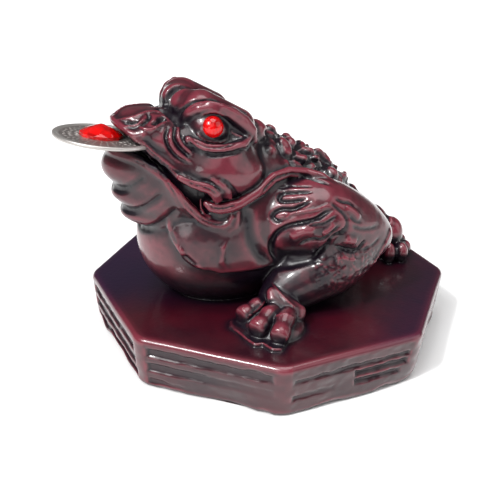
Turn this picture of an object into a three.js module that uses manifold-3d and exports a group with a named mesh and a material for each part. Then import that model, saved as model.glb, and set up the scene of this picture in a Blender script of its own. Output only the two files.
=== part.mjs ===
// Money toad on an octagonal plinth: one resin casting, a coin in its mouth with a cut red
// stone on it, and two red eye beads. Millimetres, +Z up, the toad faces -Y, its left is +X.
// The origin is the middle of the plinth's underside.
import * as THREE from 'three';
import { mergeVertices } from 'three/addons/utils/BufferGeometryUtils.js';
import Module from 'manifold-3d';

// Driving sizes of the plinth
const PLINTH_ACROSS = 96;
const PLINTH_HEIGHT = 14.8;
const PLINTH_CORNER_RADIUS = 2.4;
const PLINTH_EDGE_RADIUS = 1;
const PLINTH_DRAFT_DEG = 5;
const BAR_HEIGHT = 1.8;
const BAR_PITCH = 3.7;
const BAR_DEPTH = 0.8;
const BAR_END_MARGIN = 3.2;
const BAR_BREAK = 6;
const BAR_TOP_MARGIN = 3.1;

// Driving sizes of the toad: its forms are set out below for a toad 90 long, and follow its length
const TOAD_LENGTH = 90;
const TOAD_SINK = 1;
const CARVING_CELL = 1.05;
const CARVING_TRIANGLES = 6600;

// Driving sizes of the loose pieces
const BEAD_DIAMETER = 5.6;
const BEAD_SEGMENTS = 16;
const COIN_DIAMETER = 25;
const COIN_THICKNESS = 1.5;
const COIN_SEGMENTS = 40;
const COIN_RIM_WIDTH = 1;
const COIN_RIM_RISE = 0.25;
const COIN_TILT_DEG = 6.6;
const STONE_DIAMETER = 10.6;
const STONE_SIDES = 10;
const STONE_GIRDLE = 1.1;
const STONE_HEIGHT = 2.9;
const STONE_SEAT_DEPTH = 0.5;
const CLEARANCE = 0.3;

const unit = TOAD_LENGTH / 90;
const wasm = await Module();
wasm.setup();

// Closed three.js geometry to a solid, and back
function toSolid(geometry) {
  const bare = geometry.index ? geometry.toNonIndexed() : geometry.clone();
  bare.deleteAttribute('normal');
  bare.deleteAttribute('uv');
  const merged = mergeVertices(bare, 1e-4);
  return new wasm.Manifold(new wasm.Mesh({
    numProp: 3,
    vertProperties: new Float32Array(merged.attributes.position.array),
    triVerts: new Uint32Array(merged.index.array),
  }));
}

function toGeometry(solid) {
  const mesh = solid.getMesh();
  const geometry = new THREE.BufferGeometry();
  geometry.setAttribute('position', new THREE.BufferAttribute(mesh.vertProperties, 3));
  geometry.setIndex(new THREE.BufferAttribute(mesh.triVerts, 1));
  geometry.computeVertexNormals();
  return geometry;
}

// Rounded forms, each a function of a point that gives its distance outside the form.
// Points are [across, along, above the plinth's top].
function egg(centre, radii, tiltDeg = 0) {
  const [cx, cy, cz] = centre.map((v) => v * unit);
  const [rx, ry, rz] = radii.map((v) => v * unit);
  const c = Math.cos(THREE.MathUtils.degToRad(tiltDeg));
  const s = Math.sin(THREE.MathUtils.degToRad(tiltDeg));
  return (x, y, z) => {
    const dx = (x - cx) / rx;
    const along = (y - cy) * c + (z - cz) * s;
    const up = (z - cz) * c - (y - cy) * s;
    const dy = along / ry;
    const dz = up / rz;
    const near = Math.hypot(dx, dy, dz);
    const slope = Math.hypot(dx / rx, dy / ry, dz / rz);
    return slope > 0 ? near * (near - 1) / slope : -Math.min(rx, ry, rz);
  };
}

// A chain of tapered tubes through points [across, along, above, radius]
function limb(points) {
  const p = points.map((point) => point.map((v) => v * unit));
  return (x, y, z) => {
    let best = Infinity;
    for (let i = 0; i + 1 < p.length; i += 1) {
      const [ax, ay, az, ar] = p[i];
      const [bx, by, bz, br] = p[i + 1];
      const ux = bx - ax;
      const uy = by - ay;
      const uz = bz - az;
      const along = ((x - ax) * ux + (y - ay) * uy + (z - az) * uz) / (ux * ux + uy * uy + uz * uz);
      const t = Math.min(1, Math.max(0, along));
      const d = Math.hypot(x - ax - t * ux, y - ay - t * uy, z - az - t * uz) - ar - t * (br - ar);
      best = Math.min(best, d);
    }
    return best;
  };
}

// Distance to a line drawn on the toad's side, through points [along, above]
function sideLine(points) {
  const p = points.map((point) => point.map((v) => v * unit));
  return (y, z) => {
    let best = Infinity;
    for (let i = 0; i + 1 < p.length; i += 1) {
      const uy = p[i + 1][0] - p[i][0];
      const uz = p[i + 1][1] - p[i][1];
      const along = ((y - p[i][0]) * uy + (z - p[i][1]) * uz) / (uy * uy + uz * uz);
      const t = Math.min(1, Math.max(0, along));
      best = Math.min(best, Math.hypot(y - p[i][0] - t * uy, z - p[i][1] - t * uz));
    }
    return best;
  };
}

// Value along a row of [place, value] pairs
function ramp(pairs) {
  const p = pairs.map((pair) => pair.map((v) => v * unit));
  return (place) => {
    let i = 0;
    while (i < p.length - 2 && place > p[i + 1][0]) i += 1;
    const t = Math.min(1, Math.max(0, (place - p[i][0]) / (p[i + 1][0] - p[i][0])));
    const ease = t * t * (3 - 2 * t);
    return p[i][1] + ease * (p[i + 1][1] - p[i][1]);
  };
}

// Two forms run together over a fillet, and one form cut from another with an eased edge
function blend(a, b, fillet) {
  const k = fillet * unit;
  const h = Math.max(k - Math.abs(a - b), 0) / k;
  return Math.min(a, b) - h * h * k / 4;
}

function carve(a, cutter, ease) {
  return -blend(-a, cutter, ease);
}

// Trunk, belly and throat, with the throat's folds and the lower edge of the skirt of skin
const belly = egg([0, -14, 17], [19.5, 25, 21]);
const trunk = limb([[0, -9, 24.5, 19.8], [0, 6, 19.3, 18], [0, 21, 12, 14.6]]);
const throat = egg([0, -25, 37], [16, 21.5, 19.5]);
const throatFolds = [
  { line: sideLine([[-50, 33.6], [-44.5, 33.8], [-38, 37.5]]), radius: 1.5 },
  { line: sideLine([[-50, 28.8], [-42.3, 28.6], [-36, 33.5]]), radius: 1.7 },
  { line: sideLine([[-46, 23.4], [-39.8, 22.8], [-34, 28.5]]), radius: 1.5 },
];
const skirtEdge = ramp([[-35.6, 34], [-34.6, 24], [-32.5, 18], [-27.3, 13.7], [-23, 12.6], [-10, 12.2]]);
const SKIRT_RISE = 1.3;
const SKIRT_END = -6;
const skirtCurl = limb([[18.6, -21.6, 22.6, 0.5], [18.9, -23.2, 20, 0.9], [18.8, -23.6, 16.6, 1], [18.6, -21.6, 13.6, 0.7]]);

// Head: skull, muzzle, brows and cheeks, the eyes in their hollows between two lids, the nostrils
const skull = egg([0, -21, 41], [18, 13.5, 12]);
const muzzle = egg([0, -30.5, 45], [13.5, 15, 7], -21);
const brow = egg([8.7, -23.2, 50.2], [5.4, 8, 6.9], -6);
const cheek = egg([12.8, -20, 38], [6.8, 10.5, 6.5], -12);
const eyeHollow = egg([17.5, -22.8, 49.2], [6, 7.2, 4.4], -14);
const eyeball = egg([9, -23.2, 48.6], [5.4, 5.4, 5.4]);
const beadPlace = [12.4, -23.5, 49.9];
const upperLid = limb([
  [11.4, -30.6, 50.4, 0.9], [11.2, -27.6, 53, 1.5], [11.9, -24, 54.5, 1.8], [13, -20.4, 53.8, 1.8],
  [13.8, -15.5, 51.2, 1.7], [13.2, -12.2, 48.4, 1.5], [13.4, -11.6, 45.2, 1],
]);
const lowerLid = limb([
  [13.2, -30, 47.8, 0.9], [15.3, -26.4, 45.6, 1.3], [16.2, -21.8, 44.9, 1.5], [15.8, -17, 45.3, 1.3],
  [14.6, -14.8, 46.4, 0.8],
]);
const nostril = limb([[6.4, -42.6, 49.6, 0.9], [8.2, -39.8, 49.8, 1.4], [8.3, -37.4, 50.9, 1.5], [7.2, -36, 51.6, 1.3]]);
const noseHole = egg([9.9, -36.6, 49.4], [1.5, 1.3, 1.5]);

// The mouth is a belt cut round the head: its height and half gap along the toad, between the lips
const mouthHeight = ramp([
  [-46, 46.7], [-44, 46.1], [-41.5, 44.6], [-38, 42], [-36.5, 40.6], [-33, 35.5], [-30, 32.9],
  [-27, 31], [-24, 30.2], [-21, 30.3], [-18, 29.5],
]);
const mouthGap = ramp([
  [-46, 3.4], [-44, 3.2], [-41.5, 2.3], [-38, 1.7], [-36.5, 1.9], [-33, 3.4], [-30, 4.5],
  [-27, 4.9], [-24, 4.4], [-21, 2.4], [-18, 0.2],
]);
const upperLip = sideLine([
  [-46, 51.2], [-44, 50], [-41.9, 47.8], [-39.5, 45.5], [-36.6, 42.6], [-33.5, 39.4],
  [-30, 37.6], [-24.7, 35.6], [-22.2, 33.4],
]);
const lowerLip = sideLine([
  [-46, 42.8], [-41.4, 42.2], [-36.4, 38.2], [-32.6, 31], [-28.3, 26.4], [-23.7, 24.7],
  [-19.6, 26.8], [-18, 29.4],
]);
const LIP_RADIUS = 1.1;
const MOUTH_DEPTH = 7;
const MOUTH_CORNER = -18;

// Limbs: the folded forelegs with their feet, and the one hind leg behind
const upperArm = limb([[15.5, -4.5, 24, 10.3], [19.5, 3, 25, 10.3], [20.5, 16, 20.5, 9.2]]);
const forearm = limb([[20.5, 16, 19.5, 9.2], [21.7, 8, 12, 8.6], [20.5, -2, 6.8, 6.4], [22.6, -8, 4.4, 4.6]]);
const armCrease = limb([
  [20.8, -14, 18, 0.9], [20.4, -9.6, 13.4, 1.1], [23.5, -5.7, 14.3, 1.2], [27.2, -1, 16.8, 1.4],
  [29.8, 3, 20.6, 1.3], [31, 6.4, 25, 0.8],
]);
const palm = egg([27, -13, 0], [9.5, 8, 3.4]);
const foreToes = [
  limb([[20.5, -9, 4.6, 3.2], [21.9, -15.4, 4.8, 2.7], [24.4, -20, 2.6, 2.3]]),
  limb([[24.4, -8.6, 4.2, 3.2], [27.8, -13.6, 4.7, 2.8], [31.2, -18.4, 2.8, 2.4]]),
  limb([[27, -7.6, 4, 3], [32.2, -11.8, 4.4, 2.7], [35.4, -14.8, 2.7, 2.4]]),
  limb([[20, -5.5, 5.4, 3], [25, -5.8, 4.8, 2.9], [28.6, -6.2, 2.6, 2.4]]),
];
const toeTips = [
  egg([24.6, -21, 2.5], [2.5, 3, 2.6]),
  egg([31.6, -19.4, 2.6], [2.6, 3, 2.7]),
  egg([36, -15.6, 2.5], [2.7, 2.8, 2.6]),
];
const hindLeg = limb([[0, 24, 12, 10], [0, 35, 9, 6]]);
const heel = egg([0, 36, 8.5], [9, 6.5, 6]);
const hindToes = [
  limb([[9, 33, 5, 3], [9.5, 38.5, 2.4, 2.4]]),
  limb([[3.5, 36, 6, 3], [4, 44, 2.2, 2.4]]),
];

// The cord that runs from the mouth's corner over the shoulder
const cord = limb([
  [17.6, -20, 28.6, 1], [18.3, -17.4, 30.6, 1.2], [18.6, -12.6, 33.4, 1.3], [17.2, -8.6, 36.3, 1.3],
  [16.2, -3.6, 36.8, 1.3], [16.6, 1, 36, 1.3], [18.6, 4.6, 35, 1.2], [21, 7, 33.6, 0.7],
]);

// Knobs stand in rows across the back, every other row offset, each let into the skin under it
const KNOB_ROWS = 8;
const KNOB_FIRST_ROW = -6;
const KNOB_ROW_PITCH = 4.5;
const KNOB_PITCH = 6.6;
const KNOB_RADIUS = 2.1;
const KNOB_SINK = 0.9;

function knobOn(x, y, radius) {
  let z = 60 * unit;
  let above = trunk(x, y, z);
  while (above > 0.02 * unit) {
    z -= 0.7 * above;
    above = trunk(x, y, z);
  }
  return { x, y, z: z - KNOB_SINK * unit, radius };
}

function backKnobs() {
  const knobs = [];
  for (let row = 0; row < KNOB_ROWS; row += 1) {
    const y = KNOB_FIRST_ROW + row * KNOB_ROW_PITCH;
    const reach = 13.5 - 0.85 * row;
    for (let x = row % 2 ? 0 : KNOB_PITCH / 2; x < reach; x += KNOB_PITCH) {
      const radius = KNOB_RADIUS - 0.25 * ((row + Math.floor(x)) % 3);
      knobs.push(knobOn(x * unit, y * unit, radius * unit));
    }
  }
  return knobs;
}

const knobs = backKnobs();

function trunkField(x, y, z) {
  let d = trunk(x, y, z);
  for (const knob of knobs) {
    d = blend(d, Math.hypot(x - knob.x, y - knob.y, z - knob.z) - knob.radius, 0.8);
  }
  d = blend(belly(x, y, z), d, 6);
  if (y < SKIRT_END * unit) {
    const skirt = carve(belly(x, y, z) - SKIRT_RISE * unit, (z - skirtEdge(y)) * 0.7, 1);
    d = blend(d, skirt, 0.6);
  }
  d = blend(d, throat(x, y, z), 1.5);
  for (const { line, radius } of throatFolds) d = carve(d, Math.hypot(d, line(y, z)) - radius * unit, 1.6);
  return blend(d, skirtCurl(x, y, z), 0.4);
}

function headField(x, y, z) {
  let face = blend(skull(x, y, z), muzzle(x, y, z), 4);
  face = blend(face, throat(x, y, z), 2);
  face = blend(face, cheek(x, y, z), 2);
  let head = face;
  for (const lip of [upperLip, lowerLip]) {
    head = blend(head, Math.hypot(face, lip(y, z)) - LIP_RADIUS * unit, 0.8);
  }
  const mouth = mouthCut(face, y, z);
  head = carve(head, mouth, 0.8);
  head = blend(head, brow(x, y, z), 2);
  head = carve(head, eyeHollow(x, y, z), 1);
  head = blend(head, eyeball(x, y, z), 0.8);
  head = blend(head, upperLid(x, y, z), 1);
  head = blend(head, lowerLid(x, y, z), 1);
  head = blend(head, nostril(x, y, z), 0.8);
  return { head: carve(head, noseHole(x, y, z), 0.5), mouth };
}

function mouthCut(face, y, z) {
  if (y > MOUTH_CORNER * unit) return 9 * unit;
  const beside = (Math.abs(z - mouthHeight(y)) - mouthGap(y)) * 0.8;
  return Math.max(beside, -face - MOUTH_DEPTH * unit);
}

function toadField(across, y, z) {
  const x = Math.abs(across);
  const { head, mouth } = headField(x, y, z);
  let d = blend(carve(trunkField(x, y, z), mouth, 0.8), head, 1.2);
  const arm = blend(upperArm(x, y, z), forearm(x, y, z), 4);
  d = blend(d, carve(arm, armCrease(x, y, z), 1.2), 1);
  let foot = palm(x, y, z);
  for (const toe of [...foreToes, ...toeTips]) foot = blend(foot, toe(x, y, z), 0.6);
  d = blend(d, foot, 0.8);
  d = blend(d, blend(hindLeg(x, y, z), heel(x, y, z), 2), 1.5);
  for (const toe of hindToes) d = blend(d, toe(x, y, z), 0.8);
  d = blend(d, cord(x, y, z), 0.5);
  return Math.max(d, -TOAD_SINK - z);
}

// Skin of a field over a grid of cells, each cell parted into six tetrahedra, so that the skin
// is closed wherever the field is. A block of corners far from the skin takes one value.
const BLOCK = 4;

function skinOf(field, low, high, cell) {
  const count = [0, 1, 2].map((i) => Math.ceil((high[i] - low[i]) / cell) + 1);
  const stride = [1, count[0], count[0] * count[1]];
  const values = new Float32Array(count[0] * count[1] * count[2]);
  const eachCorner = (from, to, visit) => {
    for (let k = from[2]; k < Math.min(to[2], count[2]); k += 1) {
      for (let j = from[1]; j < Math.min(to[1], count[1]); j += 1) {
        for (let i = from[0]; i < Math.min(to[0], count[0]); i += 1) visit(i, j, k);
      }
    }
  };
  eachCorner([0, 0, 0], count.map((n) => Math.ceil(n / BLOCK)), (bi, bj, bk) => {
    const from = [bi, bj, bk].map((n) => n * BLOCK);
    const middle = from.map((n, axis) => low[axis] + (n + (BLOCK - 1) / 2) * cell);
    const far = field(...middle);
    const close = Math.abs(far) < BLOCK * cell * 1.2 + unit;
    eachCorner(from, from.map((n) => n + BLOCK), (i, j, k) => {
      const value = close ? field(low[0] + i * cell, low[1] + j * cell, low[2] + k * cell) : far;
      values[i + j * stride[1] + k * stride[2]] = value === 0 ? 1e-6 : value;
    });
  });
  const positions = [];
  const faces = [];
  const known = new Map();
  const crossing = (a, b) => {
    const key = Math.min(a, b) * values.length + Math.max(a, b);
    if (known.has(key)) return known.get(key);
    const t = values[a] / (values[a] - values[b]);
    for (let axis = 0; axis < 3; axis += 1) {
      const at = (n) => Math.floor(n / stride[axis]) % count[axis];
      positions.push(low[axis] + cell * (at(a) + t * (at(b) - at(a))));
    }
    known.set(key, positions.length / 3 - 1);
    return positions.length / 3 - 1;
  };
  const walks = [[0, 1, 2], [1, 2, 0], [2, 0, 1], [0, 2, 1], [2, 1, 0], [1, 0, 2]];
  const evenOrders = [[0, 1, 2, 3], [1, 0, 3, 2], [2, 3, 0, 1], [3, 2, 1, 0], [0, 2, 3, 1], [0, 3, 1, 2],
    [1, 2, 0, 3], [1, 3, 2, 0], [2, 0, 1, 3], [2, 1, 3, 0], [3, 0, 2, 1], [3, 1, 0, 2]];
  const orderOf = Array.from({ length: 16 }, (_, mask) => {
    const inside = [0, 1, 2, 3].filter((n) => mask & (1 << n));
    if (inside.length === 0 || inside.length === 4) return null;
    const lone = inside.length === 3 ? [0, 1, 2, 3].find((n) => !(mask & (1 << n))) : inside[0];
    if (inside.length !== 2) return evenOrders.find((order) => order[0] === lone);
    return evenOrders.find((order) => inside.includes(order[0]) && inside.includes(order[1]));
  });
  const part = (corner, even) => {
    let mask = 0;
    for (let n = 0; n < 4; n += 1) if (values[corner[n]] < 0) mask |= 1 << n;
    const order = orderOf[mask];
    if (!order) return;
    const [a, b, c, d] = order.map((n) => corner[n]);
    const insideCount = [0, 1, 2, 3].filter((n) => mask & (1 << n)).length;
    const add = (p, q, r, outward) => faces.push(outward === even ? [p, q, r] : [p, r, q]);
    if (insideCount === 2) {
      const [ac, ad, bd, bc] = [crossing(a, c), crossing(a, d), crossing(b, d), crossing(b, c)];
      add(ac, ad, bd, true);
      add(ac, bd, bc, true);
    } else {
      add(crossing(a, b), crossing(a, c), crossing(a, d), insideCount === 1);
    }
  };
  for (let k = 0; k + 1 < count[2]; k += 1) {
    for (let j = 0; j + 1 < count[1]; j += 1) {
      for (let i = 0; i + 1 < count[0]; i += 1) {
        const origin = i + j * stride[1] + k * stride[2];
        walks.forEach(([a, b], n) => {
          const first = origin + stride[a];
          const second = first + stride[b];
          const last = origin + stride[0] + stride[1] + stride[2];
          part([origin, first, second, last], n < 3);
        });
      }
    }
  }
  return { positions, faces };
}

// Fewer triangles: in each round the edges that carry least shape are drawn together
function thinned({ positions, faces }, target) {
  const place = positions.slice();
  let live = faces;
  const quadricOf = new Array(place.length / 3);
  const point = (v) => [place[3 * v], place[3 * v + 1], place[3 * v + 2]];
  const minus = (p, q) => [p[0] - q[0], p[1] - q[1], p[2] - q[2]];
  const cross = (p, q) => [p[1] * q[2] - p[2] * q[1], p[2] * q[0] - p[0] * q[2], p[0] * q[1] - p[1] * q[0]];
  const dot = (p, q) => p[0] * q[0] + p[1] * q[1] + p[2] * q[2];
  for (let v = 0; v < quadricOf.length; v += 1) quadricOf[v] = new Float64Array(10);
  for (const face of live) {
    const [p, q, r] = face.map(point);
    const normal = cross(minus(q, p), minus(r, p));
    const size = Math.hypot(...normal) || 1;
    const [a, b, c] = normal.map((n) => n / size);
    const e = -dot([a, b, c], p);
    const terms = [a * a, a * b, a * c, a * e, b * b, b * c, b * e, c * c, c * e, e * e];
    for (const v of face) terms.forEach((term, n) => { quadricOf[v][n] += term * size; });
  }
  const errorAt = (q, [x, y, z]) => q[0] * x * x + q[4] * y * y + q[7] * z * z + q[9]
    + 2 * (q[1] * x * y + q[2] * x * z + q[3] * x + q[5] * y * z + q[6] * y + q[8] * z);
  const bestPlace = (q, p, r) => {
    const rows = [[q[0], q[1], q[2]], [q[1], q[4], q[5]], [q[2], q[5], q[7]]];
    const right = [-q[3], -q[6], -q[8]];
    const det = dot(rows[0], cross(rows[1], rows[2]));
    const middle = p.map((v, n) => (v + r[n]) / 2);
    const reach = Math.hypot(...minus(p, r));
    const options = [p, r, middle];
    if (Math.abs(det) > 1e-9) {
      const solved = [0, 1, 2].map((n) => {
        const m = rows.map((row, line) => row.map((v, column) => (column === n ? right[line] : v)));
        return dot(m[0], cross(m[1], m[2])) / det;
      });
      if (Math.hypot(...minus(solved, middle)) < reach) options.push(solved);
    }
    options.sort((s, t) => errorAt(q, s) - errorAt(q, t));
    return options[0];
  };
  while (live.length > target) {
    const around = new Map();
    live.forEach((face, n) => face.forEach((v) => {
      if (!around.has(v)) around.set(v, []);
      around.get(v).push(n);
    }));
    const edges = [];
    for (const [a, b, c] of live) {
      for (const [s, t] of [[a, b], [b, c], [c, a]]) {
        if (s > t) continue;
        const q = quadricOf[s].map((v, n) => v + quadricOf[t][n]);
        const at = bestPlace(q, point(s), point(t));
        const reach = dot(minus(point(s), point(t)), minus(point(s), point(t)));
        edges.push({ s, t, at, cost: errorAt(q, at) + 1e-4 * reach });
      }
    }
    edges.sort((p, q) => p.cost - q.cost);
    const touched = new Set();
    const gone = new Set();
    const turned = new Map();
    const limit = Math.min(edges.length * 0.12, (live.length - target) / 2 + 1);
    let drawn = 0;
    for (const { s, t, at } of edges) {
      if (drawn >= limit) break;
      if (touched.has(s) || touched.has(t)) continue;
      const ring = (v) => new Set(around.get(v).flatMap((n) => live[n]).filter((w) => w !== v));
      const ringS = ring(s);
      const ringT = ring(t);
      if ([...ringS].filter((v) => ringT.has(v)).length !== 2) continue;
      const flips = [s, t].some((v) => around.get(v).some((n) => {
        const face = live[n];
        if (face.includes(s) && face.includes(t)) return false;
        const before = face.map(point);
        const after = face.map((w, i) => (w === v ? at : before[i]));
        const was = cross(minus(before[1], before[0]), minus(before[2], before[0]));
        const is = cross(minus(after[1], after[0]), minus(after[2], after[0]));
        return dot(was, is) < 0.25 * Math.hypot(...was) * Math.hypot(...is);
      }));
      if (flips) continue;
      for (const v of [...ringS, ...ringT, s, t]) touched.add(v);
      for (const n of around.get(s)) if (live[n].includes(t)) gone.add(n);
      for (const n of around.get(t)) turned.set(n, live[n].map((v) => (v === t ? s : v)));
      at.forEach((v, n) => { place[3 * s + n] = v; });
      quadricOf[t].forEach((v, n) => { quadricOf[s][n] += v; });
      drawn += 1;
    }
    if (drawn === 0) break;
    live = live.map((face, n) => turned.get(n) ?? face).filter((_, n) => !gone.has(n));
  }
  return { positions: place, faces: live };
}

function carvedToad() {
  const low = [-44, -52, -3].map((v) => v * unit);
  const high = [44, 52, 64].map((v) => v * unit);
  const skin = thinned(skinOf(toadField, low, high, CARVING_CELL * unit), CARVING_TRIANGLES);
  const geometry = new THREE.BufferGeometry();
  geometry.setAttribute('position', new THREE.Float32BufferAttribute(skin.positions, 3));
  geometry.setIndex(skin.faces.flat());
  geometry.translate(0, 0, PLINTH_HEIGHT);
  return toSolid(geometry.toNonIndexed());
}

// The plinth: an octagon with rounded corners and edges, drawn in towards its foot
const CORNER_TURN = Math.PI / 4;
const apothem = PLINTH_ACROSS / 2;

function plinthOutline(inset) {
  const outline = new THREE.Shape();
  const reach = (apothem - inset - PLINTH_CORNER_RADIUS) / Math.cos(CORNER_TURN / 2);
  for (let i = 0; i < 8; i += 1) {
    const middle = (i + 0.5) * CORNER_TURN;
    const cx = reach * Math.cos(middle);
    const cy = reach * Math.sin(middle);
    const from = middle - CORNER_TURN / 2;
    outline.absarc(cx, cy, PLINTH_CORNER_RADIUS, from, from + CORNER_TURN);
  }
  return outline;
}

function plinthSolid() {
  const geometry = new THREE.ExtrudeGeometry(plinthOutline(PLINTH_EDGE_RADIUS), {
    depth: PLINTH_HEIGHT - 2 * PLINTH_EDGE_RADIUS,
    bevelThickness: PLINTH_EDGE_RADIUS,
    bevelSize: PLINTH_EDGE_RADIUS,
    bevelSegments: 2,
    curveSegments: 3,
  });
  geometry.translate(0, 0, PLINTH_EDGE_RADIUS);
  const position = geometry.attributes.position;
  const draft = Math.tan(THREE.MathUtils.degToRad(PLINTH_DRAFT_DEG));
  for (let i = 0; i < position.count; i += 1) {
    const share = 1 - draft * (PLINTH_HEIGHT - position.getZ(i)) / apothem;
    position.setX(i, position.getX(i) * share);
    position.setY(i, position.getY(i) * share);
  }
  return toSolid(geometry);
}

// Bars cut in the plinth's sides, from the front face round by the toad's left:
// 1 is a whole bar and 0 a broken one, from the top bar down
const barsOfFace = [
  [1, 1, 1], [1, 1, 1], [1, 0, 0], [0, 1, 0], [1, 1, 0], [0, 0, 1], [1, 0, 1], [0, 0, 0],
];

function barCuts() {
  const cuts = [];
  const full = 2 * apothem * Math.tan(CORNER_TURN / 2) - 2 * BAR_END_MARGIN;
  const draft = THREE.MathUtils.degToRad(PLINTH_DRAFT_DEG);
  barsOfFace.forEach((bars, face) => {
    const turn = face * CORNER_TURN;
    bars.forEach((whole, row) => {
      const below = BAR_TOP_MARGIN + BAR_HEIGHT / 2 + row * BAR_PITCH;
      const length = whole ? full : (full - BAR_BREAK) / 2;
      const places = whole ? [0] : [-(length + BAR_BREAK) / 2, (length + BAR_BREAK) / 2];
      for (const place of places) {
        const box = new THREE.BoxGeometry(length, 2 * BAR_DEPTH, BAR_HEIGHT);
        box.rotateX(-draft);
        box.translate(place, -(apothem - Math.tan(draft) * below), PLINTH_HEIGHT - below);
        box.rotateZ(turn);
        cuts.push(toSolid(box));
      }
    });
  });
  return cuts;
}

// The coin lies in the mouth, tipped up at its front edge
const coinPlace = new THREE.Vector3(0, -46.7 * unit, PLINTH_HEIGHT + 47 * unit);
const coinTurn = THREE.MathUtils.degToRad(-COIN_TILT_DEG);

function turned(points, segments) {
  const geometry = new THREE.LatheGeometry(points.map(([r, z]) => new THREE.Vector2(r, z)), segments);
  geometry.rotateX(Math.PI / 2);
  return geometry;
}

function coinSolid(grow) {
  const radius = COIN_DIAMETER / 2 + grow;
  const half = COIN_THICKNESS / 2 + grow;
  const field = half - COIN_RIM_RISE;
  const inner = radius - COIN_RIM_WIDTH;
  if (grow > 0) return toSolid(turned([[0, -half], [radius, -half], [radius, half], [0, half]], COIN_SEGMENTS));
  const seat = STONE_DIAMETER / 2 + CLEARANCE;
  const profile = [
    [0, -field], [inner - COIN_RIM_RISE, -field], [inner, -half], [radius, -half],
    [radius, half], [inner, half], [inner - COIN_RIM_RISE, field], [seat, field],
    [seat, field - STONE_SEAT_DEPTH], [0, field - STONE_SEAT_DEPTH],
  ];
  return toSolid(turned(profile, COIN_SEGMENTS));
}

// The stone is cut with a straight girdle and two rows of flat faces up to a small table
function stoneSolid(grow) {
  const coinFace = COIN_THICKNESS / 2 - COIN_RIM_RISE;
  const floor = coinFace - STONE_SEAT_DEPTH + CLEARANCE;
  const girdle = coinFace + STONE_GIRDLE + grow;
  const top = coinFace + STONE_HEIGHT + grow;
  const radius = STONE_DIAMETER / 2 + grow;
  const shoulder = girdle + 0.55 * (top - girdle);
  return toSolid(turned([
    [0, floor], [radius, floor], [radius, girdle], [radius * 0.66, shoulder], [radius * 0.16, top], [0, top],
  ], STONE_SIDES));
}

function beadCentre(side) {
  return new THREE.Vector3(side * beadPlace[0] * unit, beadPlace[1] * unit, PLINTH_HEIGHT + beadPlace[2] * unit);
}

function sphereSolid(radius, centre) {
  const geometry = new THREE.SphereGeometry(radius, BEAD_SEGMENTS, BEAD_SEGMENTS / 2);
  geometry.translate(centre.x, centre.y, centre.z);
  return toSolid(geometry);
}

function castingSolid() {
  let solid = plinthSolid();
  for (const cut of barCuts()) solid = solid.subtract(cut);
  solid = solid.add(carvedToad());
  for (const side of [-1, 1]) {
    solid = solid.subtract(sphereSolid(BEAD_DIAMETER / 2 + CLEARANCE, beadCentre(side)));
  }
  const slot = toGeometry(coinSolid(CLEARANCE).add(stoneSolid(CLEARANCE)));
  slot.rotateX(coinTurn);
  slot.translate(coinPlace.x, coinPlace.y, coinPlace.z);
  return solid.subtract(toSolid(slot));
}

const resin = new THREE.MeshStandardMaterial({ color: 0x4a1420, roughness: 0.3, metalness: 0 });
const silver = new THREE.MeshStandardMaterial({ color: 0x9c9892, roughness: 0.5, metalness: 0.8 });
const redGlass = new THREE.MeshStandardMaterial({ color: 0xd01010, roughness: 0.1, metalness: 0 });

const toad = new THREE.Group();

function addPiece(name, geometry, material, parent = toad) {
  const mesh = new THREE.Mesh(geometry, material);
  mesh.name = name;
  parent.add(mesh);
  return mesh;
}

addPiece('toad_on_plinth', toGeometry(castingSolid()), resin);
for (const [name, side] of [['left_eye_bead', 1], ['right_eye_bead', -1]]) {
  const bead = addPiece(name, new THREE.SphereGeometry(BEAD_DIAMETER / 2, BEAD_SEGMENTS, BEAD_SEGMENTS / 2), redGlass);
  bead.position.copy(beadCentre(side));
}
const coinHolder = new THREE.Group();
coinHolder.position.copy(coinPlace);
coinHolder.rotation.x = coinTurn;
toad.add(coinHolder);
addPiece('coin', toGeometry(coinSolid(0)), silver, coinHolder);
addPiece('coin_stone', toGeometry(stoneSolid(0)), redGlass, coinHolder);

export default toad;
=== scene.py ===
import math
import bmesh
import bpy
import numpy as np
from mathutils import Matrix, Vector
from mathutils.bvhtree import BVHTree


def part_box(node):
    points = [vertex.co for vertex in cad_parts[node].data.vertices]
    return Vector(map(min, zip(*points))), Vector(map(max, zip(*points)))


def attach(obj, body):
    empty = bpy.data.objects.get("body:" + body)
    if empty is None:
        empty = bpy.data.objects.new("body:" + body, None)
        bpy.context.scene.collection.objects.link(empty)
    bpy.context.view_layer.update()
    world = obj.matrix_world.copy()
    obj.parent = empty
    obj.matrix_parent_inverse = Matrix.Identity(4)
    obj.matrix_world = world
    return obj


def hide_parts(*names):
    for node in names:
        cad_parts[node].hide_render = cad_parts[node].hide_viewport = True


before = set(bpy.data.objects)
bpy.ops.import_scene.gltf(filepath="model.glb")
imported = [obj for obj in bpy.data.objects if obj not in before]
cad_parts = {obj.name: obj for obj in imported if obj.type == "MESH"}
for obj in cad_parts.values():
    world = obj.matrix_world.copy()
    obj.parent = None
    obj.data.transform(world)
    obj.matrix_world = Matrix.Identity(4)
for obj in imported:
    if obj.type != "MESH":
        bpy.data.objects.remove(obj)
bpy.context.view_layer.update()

# The photograph's view: a little above the figure and in front of its left side, from a short arm's
# length. The place is in metres in the part's own frame, and the lens is for a 36 mm sensor.
PHOTO_SIDE = 500
SENSOR = 36
CAMERA_PLACE = Vector((0.1918, -0.1006, 0.1274))
CAMERA_AZIMUTH = 63.84
CAMERA_ELEVATION = 26.15
CAMERA_ROLL = 1.27
CAMERA_LENS = 60.08


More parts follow.
